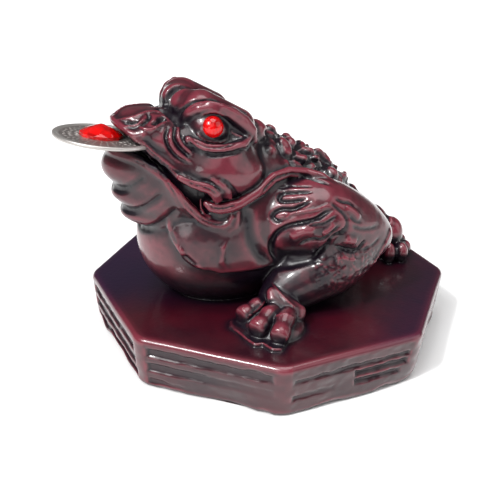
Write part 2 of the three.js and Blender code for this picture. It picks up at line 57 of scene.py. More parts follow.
def camera_turn():
    """The camera's right, up and backward directions, as the columns of a matrix"""
    a, e, r = (math.radians(v) for v in (CAMERA_AZIMUTH, CAMERA_ELEVATION, CAMERA_ROLL))
    back = Vector((math.sin(a) * math.cos(e), -math.cos(a) * math.cos(e), math.sin(e)))
    level = Vector((math.cos(a), math.sin(a), 0))
    upward = back.cross(level)
    right = level * math.cos(r) + upward * math.sin(r)
    up = upward * math.cos(r) - level * math.sin(r)
    return Matrix((right, up, back)).transposed()


def sight_line(pixel):
    """The direction in which the camera sees a pixel of the photograph"""
    focal = CAMERA_LENS / SENSOR * PHOTO_SIDE
    across = (pixel[0] - PHOTO_SIDE / 2) / focal
    down = (pixel[1] - PHOTO_SIDE / 2) / focal
    return (camera_turn() @ Vector((across, -down, -1))).normalized()


camera = bpy.data.objects.new("camera", bpy.data.cameras.new("camera"))
bpy.context.scene.collection.objects.link(camera)
camera.matrix_world = Matrix.Translation(CAMERA_PLACE) @ camera_turn().to_4x4()
camera.data.lens = CAMERA_LENS
camera.data.sensor_width = SENSOR
camera.data.clip_start = 0.01
bpy.context.scene.camera = camera

# The plinth is the foot of the casting: an octagon poured in the same dark resin as the toad, with
# soft edges and three rows of sunk bars in each side. Black is rubbed into the bars, painted shade
# darkens the top round the feet and at its back and the plinth's own foot, the edges are worn redder
# with a painted sheen, and the top has a painted navy reflection at its far sides. Sizes are millimetres.
MM = 0.001
plinth_low, casting_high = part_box("toad_on_plinth")
PLINTH_HALF = (casting_high.x - plinth_low.x) / 2 / MM
PLINTH_HEIGHT = 14.8
PLINTH_CORNER = 6
CORNER_SHARE = 0.13
PLINTH_EDGE = 1.5
PLINTH_FOOT_EDGE = 1.2
PLINTH_DRAFT = math.tan(math.radians(5))
FOOT_ROWS, EDGE_ROWS, SIDE_ROWS, TOP_ROWS = 4, 6, 44, 40
SIDE_STEPS = 88
CORNER_STEPS = 8
BAR_END = 3
BAR_ROWS = (4.1, 8.2, 12.2)
BAR_HALF = 1.15
BAR_DEPTH = 0.9
BAR_EDGE = 0.55
BAR_ROUGHNESS = 0.3
# Each bar is its depth below the top edge, its half height, its start and end along the side from -1
# to 1, and how deep it is sunk at both. The casting is worn, so the bars of two sides fade out.
WHOLE, LEFT, RIGHT = (-1, 1), (-1, -0.17), (0.17, 1)
WORN_BARS = {
    1: [(3.7, 1.2, -1, 1, 0.8, 0.45), (8.3, 1.2, -1, 1, 0.75, 0.1), (12.8, 0.8, -1, -0.25, 0.4, 0.1)],
    2: [(4.7, 0.6, -1, 1, 0.45, 0.6), (9.6, 0.7, -1, -0.3, 0.45, 0.3),
        (7.1, 0.8, 0.05, 0.97, 0.9, 0.8), (9.6, 0.7, 0.05, 0.85, 0.8, 0.5)],
}
# From the front side round by the toad's left, top bar first: 1 is whole, 0 is broken
BARS_OF_SIDE = [[1, 1, 1], [], [], [0, 1, 0], [1, 1, 0], [0, 0, 1], [1, 0, 1], [0, 0, 0]]
SIDE_SINK = 0.2
TOP_SINK = 0.06
SIDE_GRAIN = 0.07
WORN_SIDE_GRAIN = 0.16
FOOT_SWAY = 0.9
FOOT_CHIPS = 1.3
RESIN_DARK, RESIN_RED = (0.012, 0.0015, 0.0055), (0.052, 0.0018, 0.0075)
# The worn colour is greyed to stand in for a painted sheen; the navy is a painted reflection
RESIN_WORN_AND_SHEEN, NAVY_REFLECTION = (0.155, 0.019, 0.033, 1), (0.01, 0.0016, 0.024, 1)
# The black stands for the black wash and also for painted shade
RESIN_BLACK_AND_SHADE = (0.0045, 0.0014, 0.0056, 1)
LATTICE = 16
# Hollows and ridges in mm, fine and broad, between which the black and the rubbing, with its painted
# sheen, come in
FINE_RELIEF = (0.02, 0.16)
BROAD_HOLLOW = (0.15, 0.9)
BROAD_RIDGE = (0.1, 0.7)


def ease(value, start, end):
    """0 before start, 1 after end, and a smooth rise between"""
    t = np.clip((value - start) / (end - start), 0, 1)
    return t * t * (3 - 2 * t)


def waves(points, size, seed):
    """Smooth seeded unevenness between -1 and 1, with swells about size across"""
    lattice = np.random.default_rng(seed).uniform(-1, 1, (LATTICE, LATTICE, LATTICE))
    place = np.asarray(points) / size + 400
    whole = np.floor(place).astype(int)
    part = ease(place - whole, 0, 1)
    total = 0
    for corner in np.ndindex(2, 2, 2):
        share = np.prod(np.where(corner, part, 1 - part), axis=1)
        total = total + share * lattice[tuple(((whole + corner) % LATTICE).T)]
    return total


def octagon(half, corner):
    """One round of points of an octagon with rounded corners, and each point's place along its side"""
    points, along = [], []
    flat = (half - corner) * math.tan(math.pi / 8)
    for k in range(8):
        facing = -math.pi / 2 + k * math.pi / 4
        out = np.array([math.cos(facing), math.sin(facing)])
        across = np.array([-out[1], out[0]])
        for s in np.linspace(-flat, flat, SIDE_STEPS + 1):
            points.append(out * half + across * s)
            along.append(s)
        middle = out * (half - corner) + across * flat
        for n in range(1, CORNER_STEPS):
            angle = facing + n / CORNER_STEPS * math.pi / 4
            points.append(middle + corner * np.array([math.cos(angle), math.sin(angle)]))
            along.append(flat + corner)
    return np.array(points), np.array(along)


def new_piece(name, points, faces, material, smooth=True):
    """A mesh of points in millimetres, made an object in metres"""
    mesh = bpy.data.meshes.new(name)
    mesh.from_pydata((points * MM).tolist(), [], faces)
    mesh.validate()
    mesh.polygons.foreach_set("use_smooth", [smooth] * len(mesh.polygons))
    mesh.materials.append(material)
    piece = bpy.data.objects.new(name, mesh)
    bpy.context.scene.collection.objects.link(piece)
    return piece


def read(items, name, width=1, kind=np.float32):
    """One property of all points, edges or marks of a mesh, with a row for each"""
    flat = np.empty(len(items) * width, kind)
    items.foreach_get(name, flat)
    return flat.reshape(-1, width) if width > 1 else flat


def points_of(piece):
    return read(piece.data.vertices, "co", 3).astype(float) / MM


def normals_of(piece):
    return read(piece.data.vertices, "normal", 3).astype(float)


def mark(piece, name, values):
    """A number on each point of a piece, for its material to read"""
    attribute = piece.data.attributes.new(name, "FLOAT", "POINT")
    attribute.data.foreach_set("value", np.asarray(values, np.float32))


def relief(piece, rounds):
    """How far each point lies below (+) or above (-) the skin smoothed over some rounds, in mm"""
    points, normals = points_of(piece), normals_of(piece)
    ends, others = read(piece.data.edges, "vertices", 2, np.int32).T
    ends, others = np.append(ends, others), np.append(others, ends)
    count = np.maximum(np.bincount(ends, minlength=len(points)), 1)[:, None]
    smooth, found = points, []
    for n in range(max(rounds)):
        total = [np.bincount(ends, values[others], len(points)) for values in smooth.T]
        smooth = np.stack(total, 1) / count
        if n + 1 in rounds:
            found.append(((smooth - points) * normals).sum(1))
    return found


def wash_rub_and_sheen(piece, fine, broad):
    """Black stays in the hollows of a piece, and its ridges are rubbed bare, with a painted sheen"""
    small, large = relief(piece, (fine, broad))
    hollow = ease(small, *FINE_RELIEF) + ease(large, *BROAD_HOLLOW)
    ridge = ease(-small, *FINE_RELIEF) * 0.7 + ease(-large, *BROAD_RIDGE) * 0.5
    mark(piece, "darkening", np.clip(hollow, 0, 1))
    mark(piece, "rub_and_sheen", np.clip(ridge, 0, 1))


def feed(tree, target, inputs):
    """Give a node's inputs their values, or link them where they are another node's outputs"""
    for name, value in inputs.items():
        if isinstance(value, bpy.types.NodeSocket):
            tree.links.new(value, target.inputs[name])
        else:
            target.inputs[name].default_value = value


def new_node(tree, kind, inputs=(), **settings):
    """A new node of a tree, with its settings and inputs"""
    made = tree.nodes.new(kind)
    for name, value in settings.items():
        setattr(made, name, value)
    feed(tree, made, dict(inputs))
    return made


def sums(tree, operation, *values, clamp=False):
    """The result of a sum with two or three numbers"""
    made = new_node(tree, "ShaderNodeMath", operation=operation, use_clamp=clamp)
    feed(tree, made, dict(enumerate(values)))
    return made.outputs[0]


def noise(tree, scale, detail, **more):
    """Cloudy shades through a piece, from 0 to 1"""
    place = new_node(tree, "ShaderNodeTexCoord").outputs["Object"]
    inputs = {"Vector": place, "Scale": scale, "Detail": detail, **more}
    return new_node(tree, "ShaderNodeTexNoise", inputs).outputs["Fac"]


def marked(tree, name):
    """The numbers that were marked on a piece's points"""
    return new_node(tree, "ShaderNodeAttribute", attribute_name=name).outputs["Fac"]


def mixed(tree, share, first, second):
    """A colour between two colours, by its share of the second"""
    inputs = {"Factor": share, "A": first, "B": second}
    return new_node(tree, "ShaderNodeMix", inputs, data_type="RGBA").outputs["Result"]


def shades(tree, share, low, high):
    """Colours from one to another: each is its place from 0 to 1, and its colour"""
    made = new_node(tree, "ShaderNodeValToRGB", {"Fac": share})
    for stop, (place, colour) in zip(made.color_ramp.elements, (low, high)):
        stop.position = place
        stop.color = (*colour, 1)
    return made.outputs["Color"]


def spread(tree, share, low, high):
    """A number between low and high"""
    inputs = {"Value": share, "To Min": low, "To Max": high}
    return new_node(tree, "ShaderNodeMapRange", inputs).outputs["Result"]


def new_material(name):
    """A new material, its tree of nodes and its surface"""
    material = bpy.data.materials.new(name)
    material.use_nodes = True
    return material, material.node_tree, material.node_tree.nodes["Principled BSDF"]


def lacquered_resin():
    """Dark maroon resin, black in its hollows and its painted shade, redder on worn ridges with a painted
    sheen, under a gloss lacquer
    """
    material, tree, surface = new_material("lacquered resin")
    cloud = noise(tree, 55, 5, Roughness=0.6)
    colour = shades(tree, cloud, (0.3, RESIN_DARK), (0.7, RESIN_RED))
    # Worn ridges turn redder, and that colour also carries a painted sheen
    colour = mixed(tree, marked(tree, "rub_and_sheen"), colour, RESIN_WORN_AND_SHEEN)
    # A painted navy reflection where the plinth's top is marked
    colour = mixed(tree, marked(tree, "navy_reflection"), colour, NAVY_REFLECTION)
    patchy = sums(tree, "MULTIPLY_ADD", noise(tree, 420, 4), 0.5, 0.75)
    # Black from the black wash in the hollows and from the painted shade marked on the points
    black = sums(tree, "MULTIPLY", marked(tree, "darkening"), patchy, clamp=True)
    pits = {"Height": noise(tree, 900, 3), "Strength": 0.12, "Distance": 0.0004}
    feed(tree, surface, {
        "Base Color": mixed(tree, black, colour, RESIN_BLACK_AND_SHADE),
        "Roughness": sums(tree, "MULTIPLY_ADD", black, 0.06, spread(tree, cloud, 0.27, 0.42)),
        "Specular IOR Level": 0.35,
        "Coat Weight": sums(tree, "MULTIPLY_ADD", black, -0.5, 0.9),
        "Coat Roughness": 0.14,
        "Normal": new_node(tree, "ShaderNodeBump", pits).outputs["Normal"],
    })
    return material


def plinth_rows():
    """Half width and height of each round of points, from the foot's middle up to the top's middle"""
    side_high = PLINTH_HEIGHT - PLINTH_EDGE
    foot_half = PLINTH_HALF - PLINTH_DRAFT * side_high
    rows = [((foot_half - PLINTH_FOOT_EDGE) * (n + 0.02) / FOOT_ROWS, 0) for n in range(FOOT_ROWS)]
    turns = [math.pi / 2 * n / EDGE_ROWS for n in range(EDGE_ROWS + 1)]
    for a in turns[:-1]:
        inward = PLINTH_FOOT_EDGE * (1 - math.sin(a))
        rows.append((foot_half - inward, PLINTH_FOOT_EDGE * (1 - math.cos(a))))
    for z in np.linspace(PLINTH_FOOT_EDGE, side_high, SIDE_ROWS + 1):
        rows.append((PLINTH_HALF - PLINTH_DRAFT * (side_high - z), z))
    for a in turns[1:]:
        rows.append((PLINTH_HALF - PLINTH_EDGE * (1 - math.cos(a)), side_high + PLINTH_EDGE * math.sin(a)))
    for n in range(1, TOP_ROWS + 1):
        rows.append(((PLINTH_HALF - PLINTH_EDGE) * (1 - n / (TOP_ROWS + 0.02)), PLINTH_HEIGHT))
    return rows


def bars_of_side(k):
    found = list(WORN_BARS.get(k, []))
    for below, whole in zip(BAR_ROWS, BARS_OF_SIDE[k]):
        for start, end in [WHOLE] if whole else [LEFT, RIGHT]:
            found.append((below, BAR_HALF, start, end, BAR_DEPTH, BAR_DEPTH))
    return found


def bar_depth(along, side, z):
    """How deep the bars are sunk at a place on the plinth's sides"""
    depth = np.zeros(len(along))
    full = PLINTH_HALF * math.tan(math.pi / 8) - BAR_END
    for k in range(8):
        for row, (below, half, start, end, start_depth, end_depth) in enumerate(bars_of_side(k)):
            rough = BAR_ROUGHNESS * waves(np.stack([along, z, 0 * z + 9 * k + row], 1), 2.2, 31)
            ends = np.minimum(along - start * full, end * full - along)
            inside = np.minimum(ends, half - np.abs(z - PLINTH_HEIGHT + below)) + rough
            share = np.clip((along / full - start) / (end - start), 0, 1)
            sunk = (start_depth + share * (end_depth - start_depth)) * ease(inside, -BAR_EDGE, BAR_EDGE)
            depth = np.where(side == k, np.maximum(depth, sunk), depth)
    return depth


def closed_rounds(rounds, columns):
    """Faces between rounds of points, and a fan at each end round one of the two points that come last"""
    pairs = [(column, (column + 1) % columns) for column in range(columns)]
    end, last = (rounds - 1) * columns, rounds * columns
    faces = [(low + here, low + after, low + columns + after, low + columns + here)
             for low in range(0, end, columns) for here, after in pairs]
    for here, after in pairs:
        faces += [(after, here, last), (end + here, end + after, last + 1)]
    return faces


def plinth_mesh():
    """The plinth's points and faces, and how deep each point lies in a bar"""
    rows = plinth_rows()
    places, along = zip(*(octagon(half, min(PLINTH_CORNER, half * CORNER_SHARE)) for half, _ in rows))
    columns = len(places[0])
    along, z = np.concatenate(along), np.repeat([z for _, z in rows], columns)
    side = np.tile(np.arange(columns) // (columns // 8), len(rows))
    facing = -math.pi / 2 + side * math.pi / 4
    out = np.stack([np.cos(facing), np.sin(facing), 0 * facing], 1)
    on_side = (z > PLINTH_FOOT_EDGE) & (z < PLINTH_HEIGHT - PLINTH_EDGE)
    depth = np.where(on_side, bar_depth(along, side, z), 0)
    points = np.column_stack([np.concatenate(places), z]) - out * depth[:, None]
    sway = 0.16 * waves(points, 14, 3) + 0.05 * waves(points, 4, 4) - SIDE_SINK
    sway += np.where(side == 2, WORN_SIDE_GRAIN, SIDE_GRAIN) * waves(points, 1.7, 8) * on_side
    points += out * (sway * ease(z, 0.2, 3))[:, None]
    foot = FOOT_SWAY * waves(points * [1, 1, 0], 9, 15) - SIDE_SINK
    points += out * (foot * (1 - ease(z, 0.5, 7)) * (z > 0))[:, None]
    on_rim = np.hypot(points[:, 0], points[:, 1]) > 0.9 * PLINTH_HALF
    chips = np.maximum(waves(points * [1, 1, 0], 5, 16) + 0.1, 0) * FOOT_CHIPS
    points[:, 2] += chips * on_rim * (1 - ease(z, 0.6, 4))
    top = ease(points[:, 2], PLINTH_HEIGHT - 0.4, PLINTH_HEIGHT)
    points[:, 2] += top * TOP_SINK * (waves(points, 11, 5) - 1)
    points = np.concatenate([points, [[0, 0, 0], [0, 0, PLINTH_HEIGHT - TOP_SINK]]])
    return points, closed_rounds(len(rows), columns), np.append(depth, [0, 0])


resin = lacquered_resin()
plinth_points, plinth_faces, plinth_bars = plinth_mesh()
plinth = new_piece("plinth", plinth_points, plinth_faces, resin)
wash_rub_and_sheen(plinth, 3, 24)
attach(plinth, "root")
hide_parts("toad_on_plinth")

# The toad is poured in one with its plinth, in the same resin: swelling forms that run into each other,
# with the lines of its skin cut in afterwards. Sizes are millimetres on its left half, z from the plinth's
# top. An egg is its middle, half lengths and tilt; a limb is a row of places, each with its radius.
BELLY = ((0, -14, 17), (19.5, 25, 21))
TRUNK = [(0, -9, 24.5, 19.8), (0, 6, 19.1, 17.5), (0, 20.5, 10.5, 12.4)]
THROAT = ((0, -25, 37), (15.6, 19.6, 19.5))
THROAT_TOP = 47
THROAT_ROLLS = [
    ((0, -25, 38.9), (12.6, 22.6, 8.6)), ((0, -25, 31.6), (12.4, 20.4, 5.2)),
    ((0, -25, 26), (11.5, 18.3, 4.6)),
]
SKIRT_RISE = 1.3
SKIRT_END = -6
SKIRT_EDGE = [(-35.6, 34), (-34.6, 24), (-32.5, 18), (-27.3, 13.7), (-23, 12.6), (-10, 12.2)]
SKIRT_CURL = [(18.6, -21.6, 22.6, 0.5), (18.9, -23.2, 20, 0.9), (18.8, -23.6, 16.6, 1),
              (18.6, -21.6, 13.6, 0.7)]
SKULL = ((0, -21, 41), (18, 13.5, 12))
MUZZLE = ((0, -30.2, 44.7), (13, 14.6, 6.6), -22)
BROW = [(2.9, -26.4, 52.8, 4.4), (6.3, -24.1, 52.3, 5.3), (8.3, -15.1, 47.8, 4.8)]
CHEEK = ((12.8, -20, 38), (6.8, 10.5, 6.5), -12)
EYE_HOLLOW = ((17.5, -22.8, 49.2), (6, 7.2, 4.4), -14)
EYEBALL = ((9, -23.2, 48.6), (5.4, 5.4, 5.4))
BROW_VALLEY = [(0, -32, 50.6, 1.2), (0, -30.4, 54.4, 1.6), (0, -27, 57.4, 1.8), (0, -21, 56.8, 2),
               (0, -15, 54, 1.6)]
UPPER_LID = [(7.4, -29.2, 50.4, 0.7), (9.2, -28, 53, 1), (10.8, -26.2, 54.3, 1.2),
             (11.8, -23.7, 54.8, 1.3), (12.6, -20.9, 54.2, 1.4), (13, -18.2, 52.6, 1.7),
             (13.2, -15.5, 50.3, 1.9), (13.2, -13.6, 47.9, 1.8), (13.3, -12.7, 45.5, 1.1)]
LOWER_LID = [(13.2, -30, 47.8, 0.9), (15.3, -26.4, 45.6, 1.3), (16.2, -21.8, 44.9, 1.5),
             (15.8, -17, 45.3, 1.3), (14.6, -14.8, 46.4, 0.8)]
NOSTRIL = [(6.6, -42.2, 48.6, 0.9), (8.4, -39.6, 48.8, 1.3), (8.5, -37.2, 49.8, 1.4),
           (7.4, -35.8, 50.6, 1.2)]
MOUTH_LEVEL = [(-46, 47), (-44, 46.5), (-41.5, 45), (-38, 42.4), (-36.5, 40.9), (-33, 35.8), (-30, 33.1),
               (-27, 31), (-24, 30.2), (-21, 30.3), (-18, 29.5)]
MOUTH_GAP = [(-46, 2.6), (-44, 2.3), (-41.5, 1.6), (-38, 1.1), (-36.5, 1.2), (-33, 2.4), (-30, 3.4),
             (-27, 3.8), (-24.6, 2.6), (-22.5, 0.2)]
MOUTH_DEPTH = [(-40, 7), (-35, 4.2), (-31, 3.2), (-24, 2.6)]
MOUTH_CORNER = -22.5
LIP_RADIUS = 1.1
UPPER_LIP = [(-46, 51.2), (-44, 50), (-41.9, 47.8), (-39.5, 45.5), (-36.6, 42.6), (-33.5, 39.4),
             (-30, 37.6), (-27.2, 36.6), (-24.7, 35.6), (-22.2, 33.4)]
LIP_CORNER = ((13.2, -21.2, 29.6), (4.3, 5.2, 5.8))
LIP_ENDS = [
    [(15.4, -32.9, 39.2, 0.9), (16.8, -30.3, 37.8, 1.1), (18, -28.3, 37.1, 1.2),
     (18.5, -26.6, 36.5, 1.3), (18.4, -25.1, 35.1, 1.5), (17.4, -24.2, 33.6, 1.5)],
    [(18.2, -25.8, 38.8, 0.6), (18.7, -24.7, 38, 0.9), (18.9, -23.4, 36.8, 1), (18.7, -22, 35.1, 1),
     (17.9, -21.1, 33.2, 0.7)],
    [(13.6, -35.6, 38, 0.5), (14.5, -33.3, 34.6, 1), (14.8, -31.3, 31.4, 1), (15.2, -29.6, 29.5, 1),
     (15.6, -28.2, 27.9, 1), (16.2, -26.5, 26.7, 1), (16.9, -24.6, 25.9, 1), (17.7, -22.8, 25.6, 1),
     (18.1, -21.3, 26.2, 0.9), (18.2, -20.5, 27.8, 0.8), (17.8, -20.3, 29.1, 0.7)],
    [(18, -19.1, 29.9, 0.7), (18.3, -19.1, 28.6, 0.8), (18.5, -19.2, 27.3, 0.8),
     (18.5, -19.9, 25.4, 0.8), (18.2, -21.3, 24.4, 0.8), (17.2, -23.1, 23.9, 0.6)],
    [(14.5, -27.5, 32.4, 0.25), (14.8, -27.6, 30.3, 0.3), (15.4, -26.9, 28.6, 0.35),
     (16, -26, 27.8, 0.6)],
    [(13.2, -31, 32.5, 0.6), (13.6, -30, 31.2, 0.6), (14.2, -28.6, 29.6, 0.6), (14.9, -27.6, 28, 0.6)],
]
LOWER_LIP = [(-46, 43.4), (-41.4, 42.8), (-36.4, 38.7), (-32.6, 31.3), (-28.3, 26.5), (-23.7, 24.7),
             (-19.6, 26.8), (-18, 29.4)]
UPPER_ARM = [(16.2, -3.6, 24.2, 9.5), (19.5, 3, 25, 10.2), (20.5, 13, 20.8, 8.5), (21.3, 20, 17.4, 5)]
FOREARM = [(20.8, 17.5, 16.5, 6.8), (21.7, 8, 12, 8.8), (21.4, 1, 8.9, 8.1), (21.4, -4.5, 6.4, 6.8),
           (21.6, -9.2, 4, 4.6)]
ARM_STEP = 1.5
ARM_CREASE = [(20.8, -14, 18, 0.9), (20.4, -9.6, 13.4, 1.1), (23.5, -5.7, 14.3, 1.1),
              (27, -1, 16.8, 1.2), (29.6, 3, 20.6, 1.1), (30.6, 6.4, 25, 0.7)]
PALM = ((27.6, -13, 0), (9.5, 8.2, 4))
TOES = [
    [(21.5, -11, 3, 2.4), (23.8, -15.8, 4.1, 2.3), (24.1, -17.4, 3.4, 2.15), (24.4, -19, 2.9, 2.6),
     (24.7, -20, 2.7, 2.6)],
    [(25.5, -9, 3, 2.4), (29.6, -15.2, 4.3, 2.4), (30.6, -16.9, 3.6, 2.25), (31.6, -18.6, 3, 2.7),
     (32.2, -19.6, 2.8, 2.6)],
    [(28, -8, 3, 2.4), (33.6, -12.8, 4.1, 2.5), (34.8, -13.9, 3.5, 2.3), (36.2, -15.1, 2.9, 2.6),
     (37.2, -16, 2.7, 2.5)],
]
TOE_FLAT = 1.2
THUMB = [
    [(24.6, -11.8, 7.6, 1.5), (27.4, -9.2, 5.7, 1.9), (30, -6.6, 3.8, 1.7)],
    [(26, -12.4, 6.2, 1.5), (28.6, -10, 4.5, 1.9), (31, -7.6, 2.9, 1.7)],
]
SOLE_HEIGHT = 0.8
SOLE_ROUND = 0.3
SOLE = [(20, -12), (22.6, -22.6), (24.9, -23.8), (28.6, -22.7), (32.2, -22.7), (35.4, -21.9), (36, -20),
        (39.2, -18.9), (40, -17), (37.4, -14), (33, -10), (21, -4)]
HIND_LEG = [(0, 24, 12, 10), (0, 33, 9, 6.5)]
HIND_FOOT = [
    ((4.6, 38.2, 7.3), (4.2, 3.8, 4.9)), ((0, 38, 1), (9, 6.5, 3.4)), ((9.6, 35, 3), (2.2, 1.9, 3.3)),
    ((10.2, 38.8, 2.9), (2.5, 2, 3.1)), ((6.6, 42.4, 2.2), (2.2, 2.3, 2.4)),
    ((1.9, 44, 2.2), (1.9, 2.2, 2.3)),
]
CORD = [(16, -26.6, 31.6, 0.8), (17, -25.6, 30.9, 1.2), (17.8, -23.6, 30.4, 1.35),
        (18.3, -21.3, 30.7, 1.4), (18.4, -18.6, 31.2, 1.3), (18.4, -15.2, 32.8, 1.3),
        (18.2, -12.6, 33.9, 1.3), (17.2, -8.6, 36.3, 1.3), (16.2, -3.6, 36.8, 1.3), (16.6, 1, 36, 1.3),
        (18.6, 4.6, 35, 1.2), (21, 7, 33.6, 0.7)]
KNOB_ROWS = 8
KNOB_FIRST_ROW = -6
KNOB_ROW_PITCH = 4.5
KNOB_PITCH = 6.6
KNOB_RADIUS = 2.1
KNOB_SINK = 0.9
NECK_KNOB = (5.4, -9, 44.6, 3.6)
FOOT_FILLET = 0.8
FOOT_SINK = 0.25
SKIN_CELL = 0.42
SKIN_BLOCK = 6
BLOCK_REACH = 1.18
MOST_AT_ONCE = 300000
SLOPE_REACH = 0.05
SKIN_HALF_BOX = ((0, -54, -1.5), (42, 52, 62))
SKIN_TRIANGLES = 190000
# Distances that only stand for far off: in blocks that aren't worked out, and before a form is found
UNSEEN = 50
FAR = 999.0


def egg(at, middle, half, tilt=0):
    """How far places lie outside an egg, roughly; a negative tilt lowers its front end"""
    x, y, z = (at[n] - middle[n] for n in range(3))
    c, s = math.cos(math.radians(tilt)), math.sin(math.radians(tilt))
    x, y, z = x / half[0], (y * c + z * s) / half[1], (z * c - y * s) / half[2]
    near = np.sqrt(x * x + y * y + z * z)
    steep = np.sqrt((x / half[0]) ** 2 + (y / half[1]) ** 2 + (z / half[2]) ** 2) + 1e-9
    return near * (near - 1) / steep


def limb(at, spine):
    """How far places lie outside a limb that tapers from place to place"""
    best = FAR
    for start, end in zip(spine[:-1], spine[1:]):
        run = [end[n] - start[n] for n in range(3)]
        away = [at[n] - start[n] for n in range(3)]
        share = (away[0] * run[0] + away[1] * run[1] + away[2] * run[2]) / sum(r * r for r in run)
        share = np.clip(share, 0, 1)
        gap = np.sqrt(sum((away[n] - share * run[n]) ** 2 for n in range(3)))
        best = np.minimum(best, gap - start[3] - share * (end[3] - start[3]))
    return best


def curved(path, step):
    """Places along a smooth line through the places of a path, about a step apart"""
    knots = [np.array(p, float) for p in path]
    knots = [2 * knots[0] - knots[1], *knots, 2 * knots[-1] - knots[-2]]
    places = []
    for before, start, end, after in zip(knots, knots[1:], knots[2:], knots[3:]):
        count = max(int(np.linalg.norm(end - start) / step), 1)
        for t in np.arange(count) / count:
            places.append(start + 0.5 * t * (end - before + t * (
                2 * before - 5 * start + 4 * end - after + t * (3 * (start - end) + after - before))))
    return [*places, knots[-2]]


def swelling(at, spine):
    """How far places lie outside a limb that swells and thins smoothly along a curve"""
    best = FAR
    spine = curved(spine, ARM_STEP)
    for start, end in zip(spine[:-1], spine[1:]):
        run = end[:3] - start[:3]
        length = np.linalg.norm(run)
        taper = (end[3] - start[3]) / length
        away = [at[n] - start[n] for n in range(3)]
        along = (away[0] * run[0] + away[1] * run[1] + away[2] * run[2]) / length
        beside = np.sqrt(np.maximum(away[0] ** 2 + away[1] ** 2 + away[2] ** 2 - along ** 2, 0))
        share = np.clip((along + beside * taper / math.sqrt(1 - taper * taper)) / length, 0, 1)
        gap = np.hypot(beside, along - share * length)
        best = np.minimum(best, gap - start[3] - share * (end[3] - start[3]))
    return best


def seen_line(at, path):
    """How far places lie from a path of (y, z) places, as seen from the toad's side"""
    return limb((0 * at[0], at[1], at[2]), [(0, y, z, 0) for y, z in path])


def eased_table(value, pairs):
    """A value read from pairs, with a smooth change from each to the next"""
    known, values = np.array(pairs, float).T
    n = np.clip(np.searchsorted(known, value, side="right") - 1, 0, len(known) - 2)
    share = ease((value - known[n]) / (known[n + 1] - known[n]), 0, 1)
    return values[n] + share * (values[n + 1] - values[n])


def blend(a, b, fillet):
    """Both forms together, with a fillet where they meet"""
    share = np.maximum(fillet - np.abs(a - b), 0) / fillet
    return np.minimum(a, b) - share * share * fillet / 4


def carve(a, b, fillet):
    """The first form with the second cut out of it"""
    return -blend(-a, b, fillet)


def melted(form, parts, fillet):
    """A form with several others blended into it, one after the other"""
    for part in parts:
        form = blend(form, part, fillet)
    return form


def knob_places():
    """The knobs sit in staggered rows on the back, fewer in each row towards the rump"""
    found = []
    heights = np.arange(60, 0, -0.05)
    for row in range(KNOB_ROWS):
        y = KNOB_FIRST_ROW + row * KNOB_ROW_PITCH
        for x in np.arange(0 if row % 2 else KNOB_PITCH / 2, 13.5 - 0.85 * row, KNOB_PITCH):
            outside = limb((x + 0 * heights, y + 0 * heights, heights), TRUNK) > 0
            top = heights[np.argmin(outside)]
            found.append((x, y, top - KNOB_SINK, KNOB_RADIUS - 0.25 * ((row + int(x)) % 3)))
    return found


KNOBS = [*knob_places(), NECK_KNOB]


def stub(at, spine):
    """A limb whose end is cut nearly flat, as a toe's is"""
    start, end = spine[-2:]
    run = math.hypot(end[0] - start[0], end[1] - start[1])
    beyond = ((at[0] - end[0]) * (end[0] - start[0]) + (at[1] - end[1]) * (end[1] - start[1])) / run
    return carve(limb(at, spine), TOE_FLAT - beyond, 1.3)


def slab(at, outline, height):
    """How far places lie outside a flat slab that stands on the plinth, with a closed outline"""
    x, y = at[0], at[1]
    gap, inside = FAR, np.zeros(x.shape, bool)
    for (ax, ay), (bx, by) in zip(outline, outline[1:] + outline[:1]):
        share = ((x - ax) * (bx - ax) + (y - ay) * (by - ay)) / ((bx - ax) ** 2 + (by - ay) ** 2)
        share = np.clip(share, 0, 1)
        gap = np.minimum(gap, np.hypot(x - ax - share * (bx - ax), y - ay - share * (by - ay)))
        if ay != by:
            inside ^= ((ay > y) != (by > y)) & (x < (bx - ax) * (y - ay) / (by - ay) + ax)
    return carve(np.where(inside, -gap, gap) - SOLE_ROUND, height - at[2], 0.9)


def throat_field(at):
    form = carve(egg(at, *THROAT), THROAT_TOP - at[2], 4)
    return melted(form, (egg(at, *roll) for roll in THROAT_ROLLS), 1.5)


def body_field(at):
    y, z = at[1], at[2]
    back = melted(limb(at, TRUNK), (egg(at, knob[:3], [knob[3]] * 3) for knob in KNOBS), 0.8)
    belly = egg(at, *BELLY)
    skirt = carve(belly - SKIRT_RISE, (z - eased_table(y, SKIRT_EDGE)) * 0.7, 1)
    form = blend(blend(belly, back, 6), np.where(y < SKIRT_END, skirt, 9), 0.6)
    return blend(blend(form, throat_field(at), 1.2), limb(at, SKIRT_CURL), 0.4)


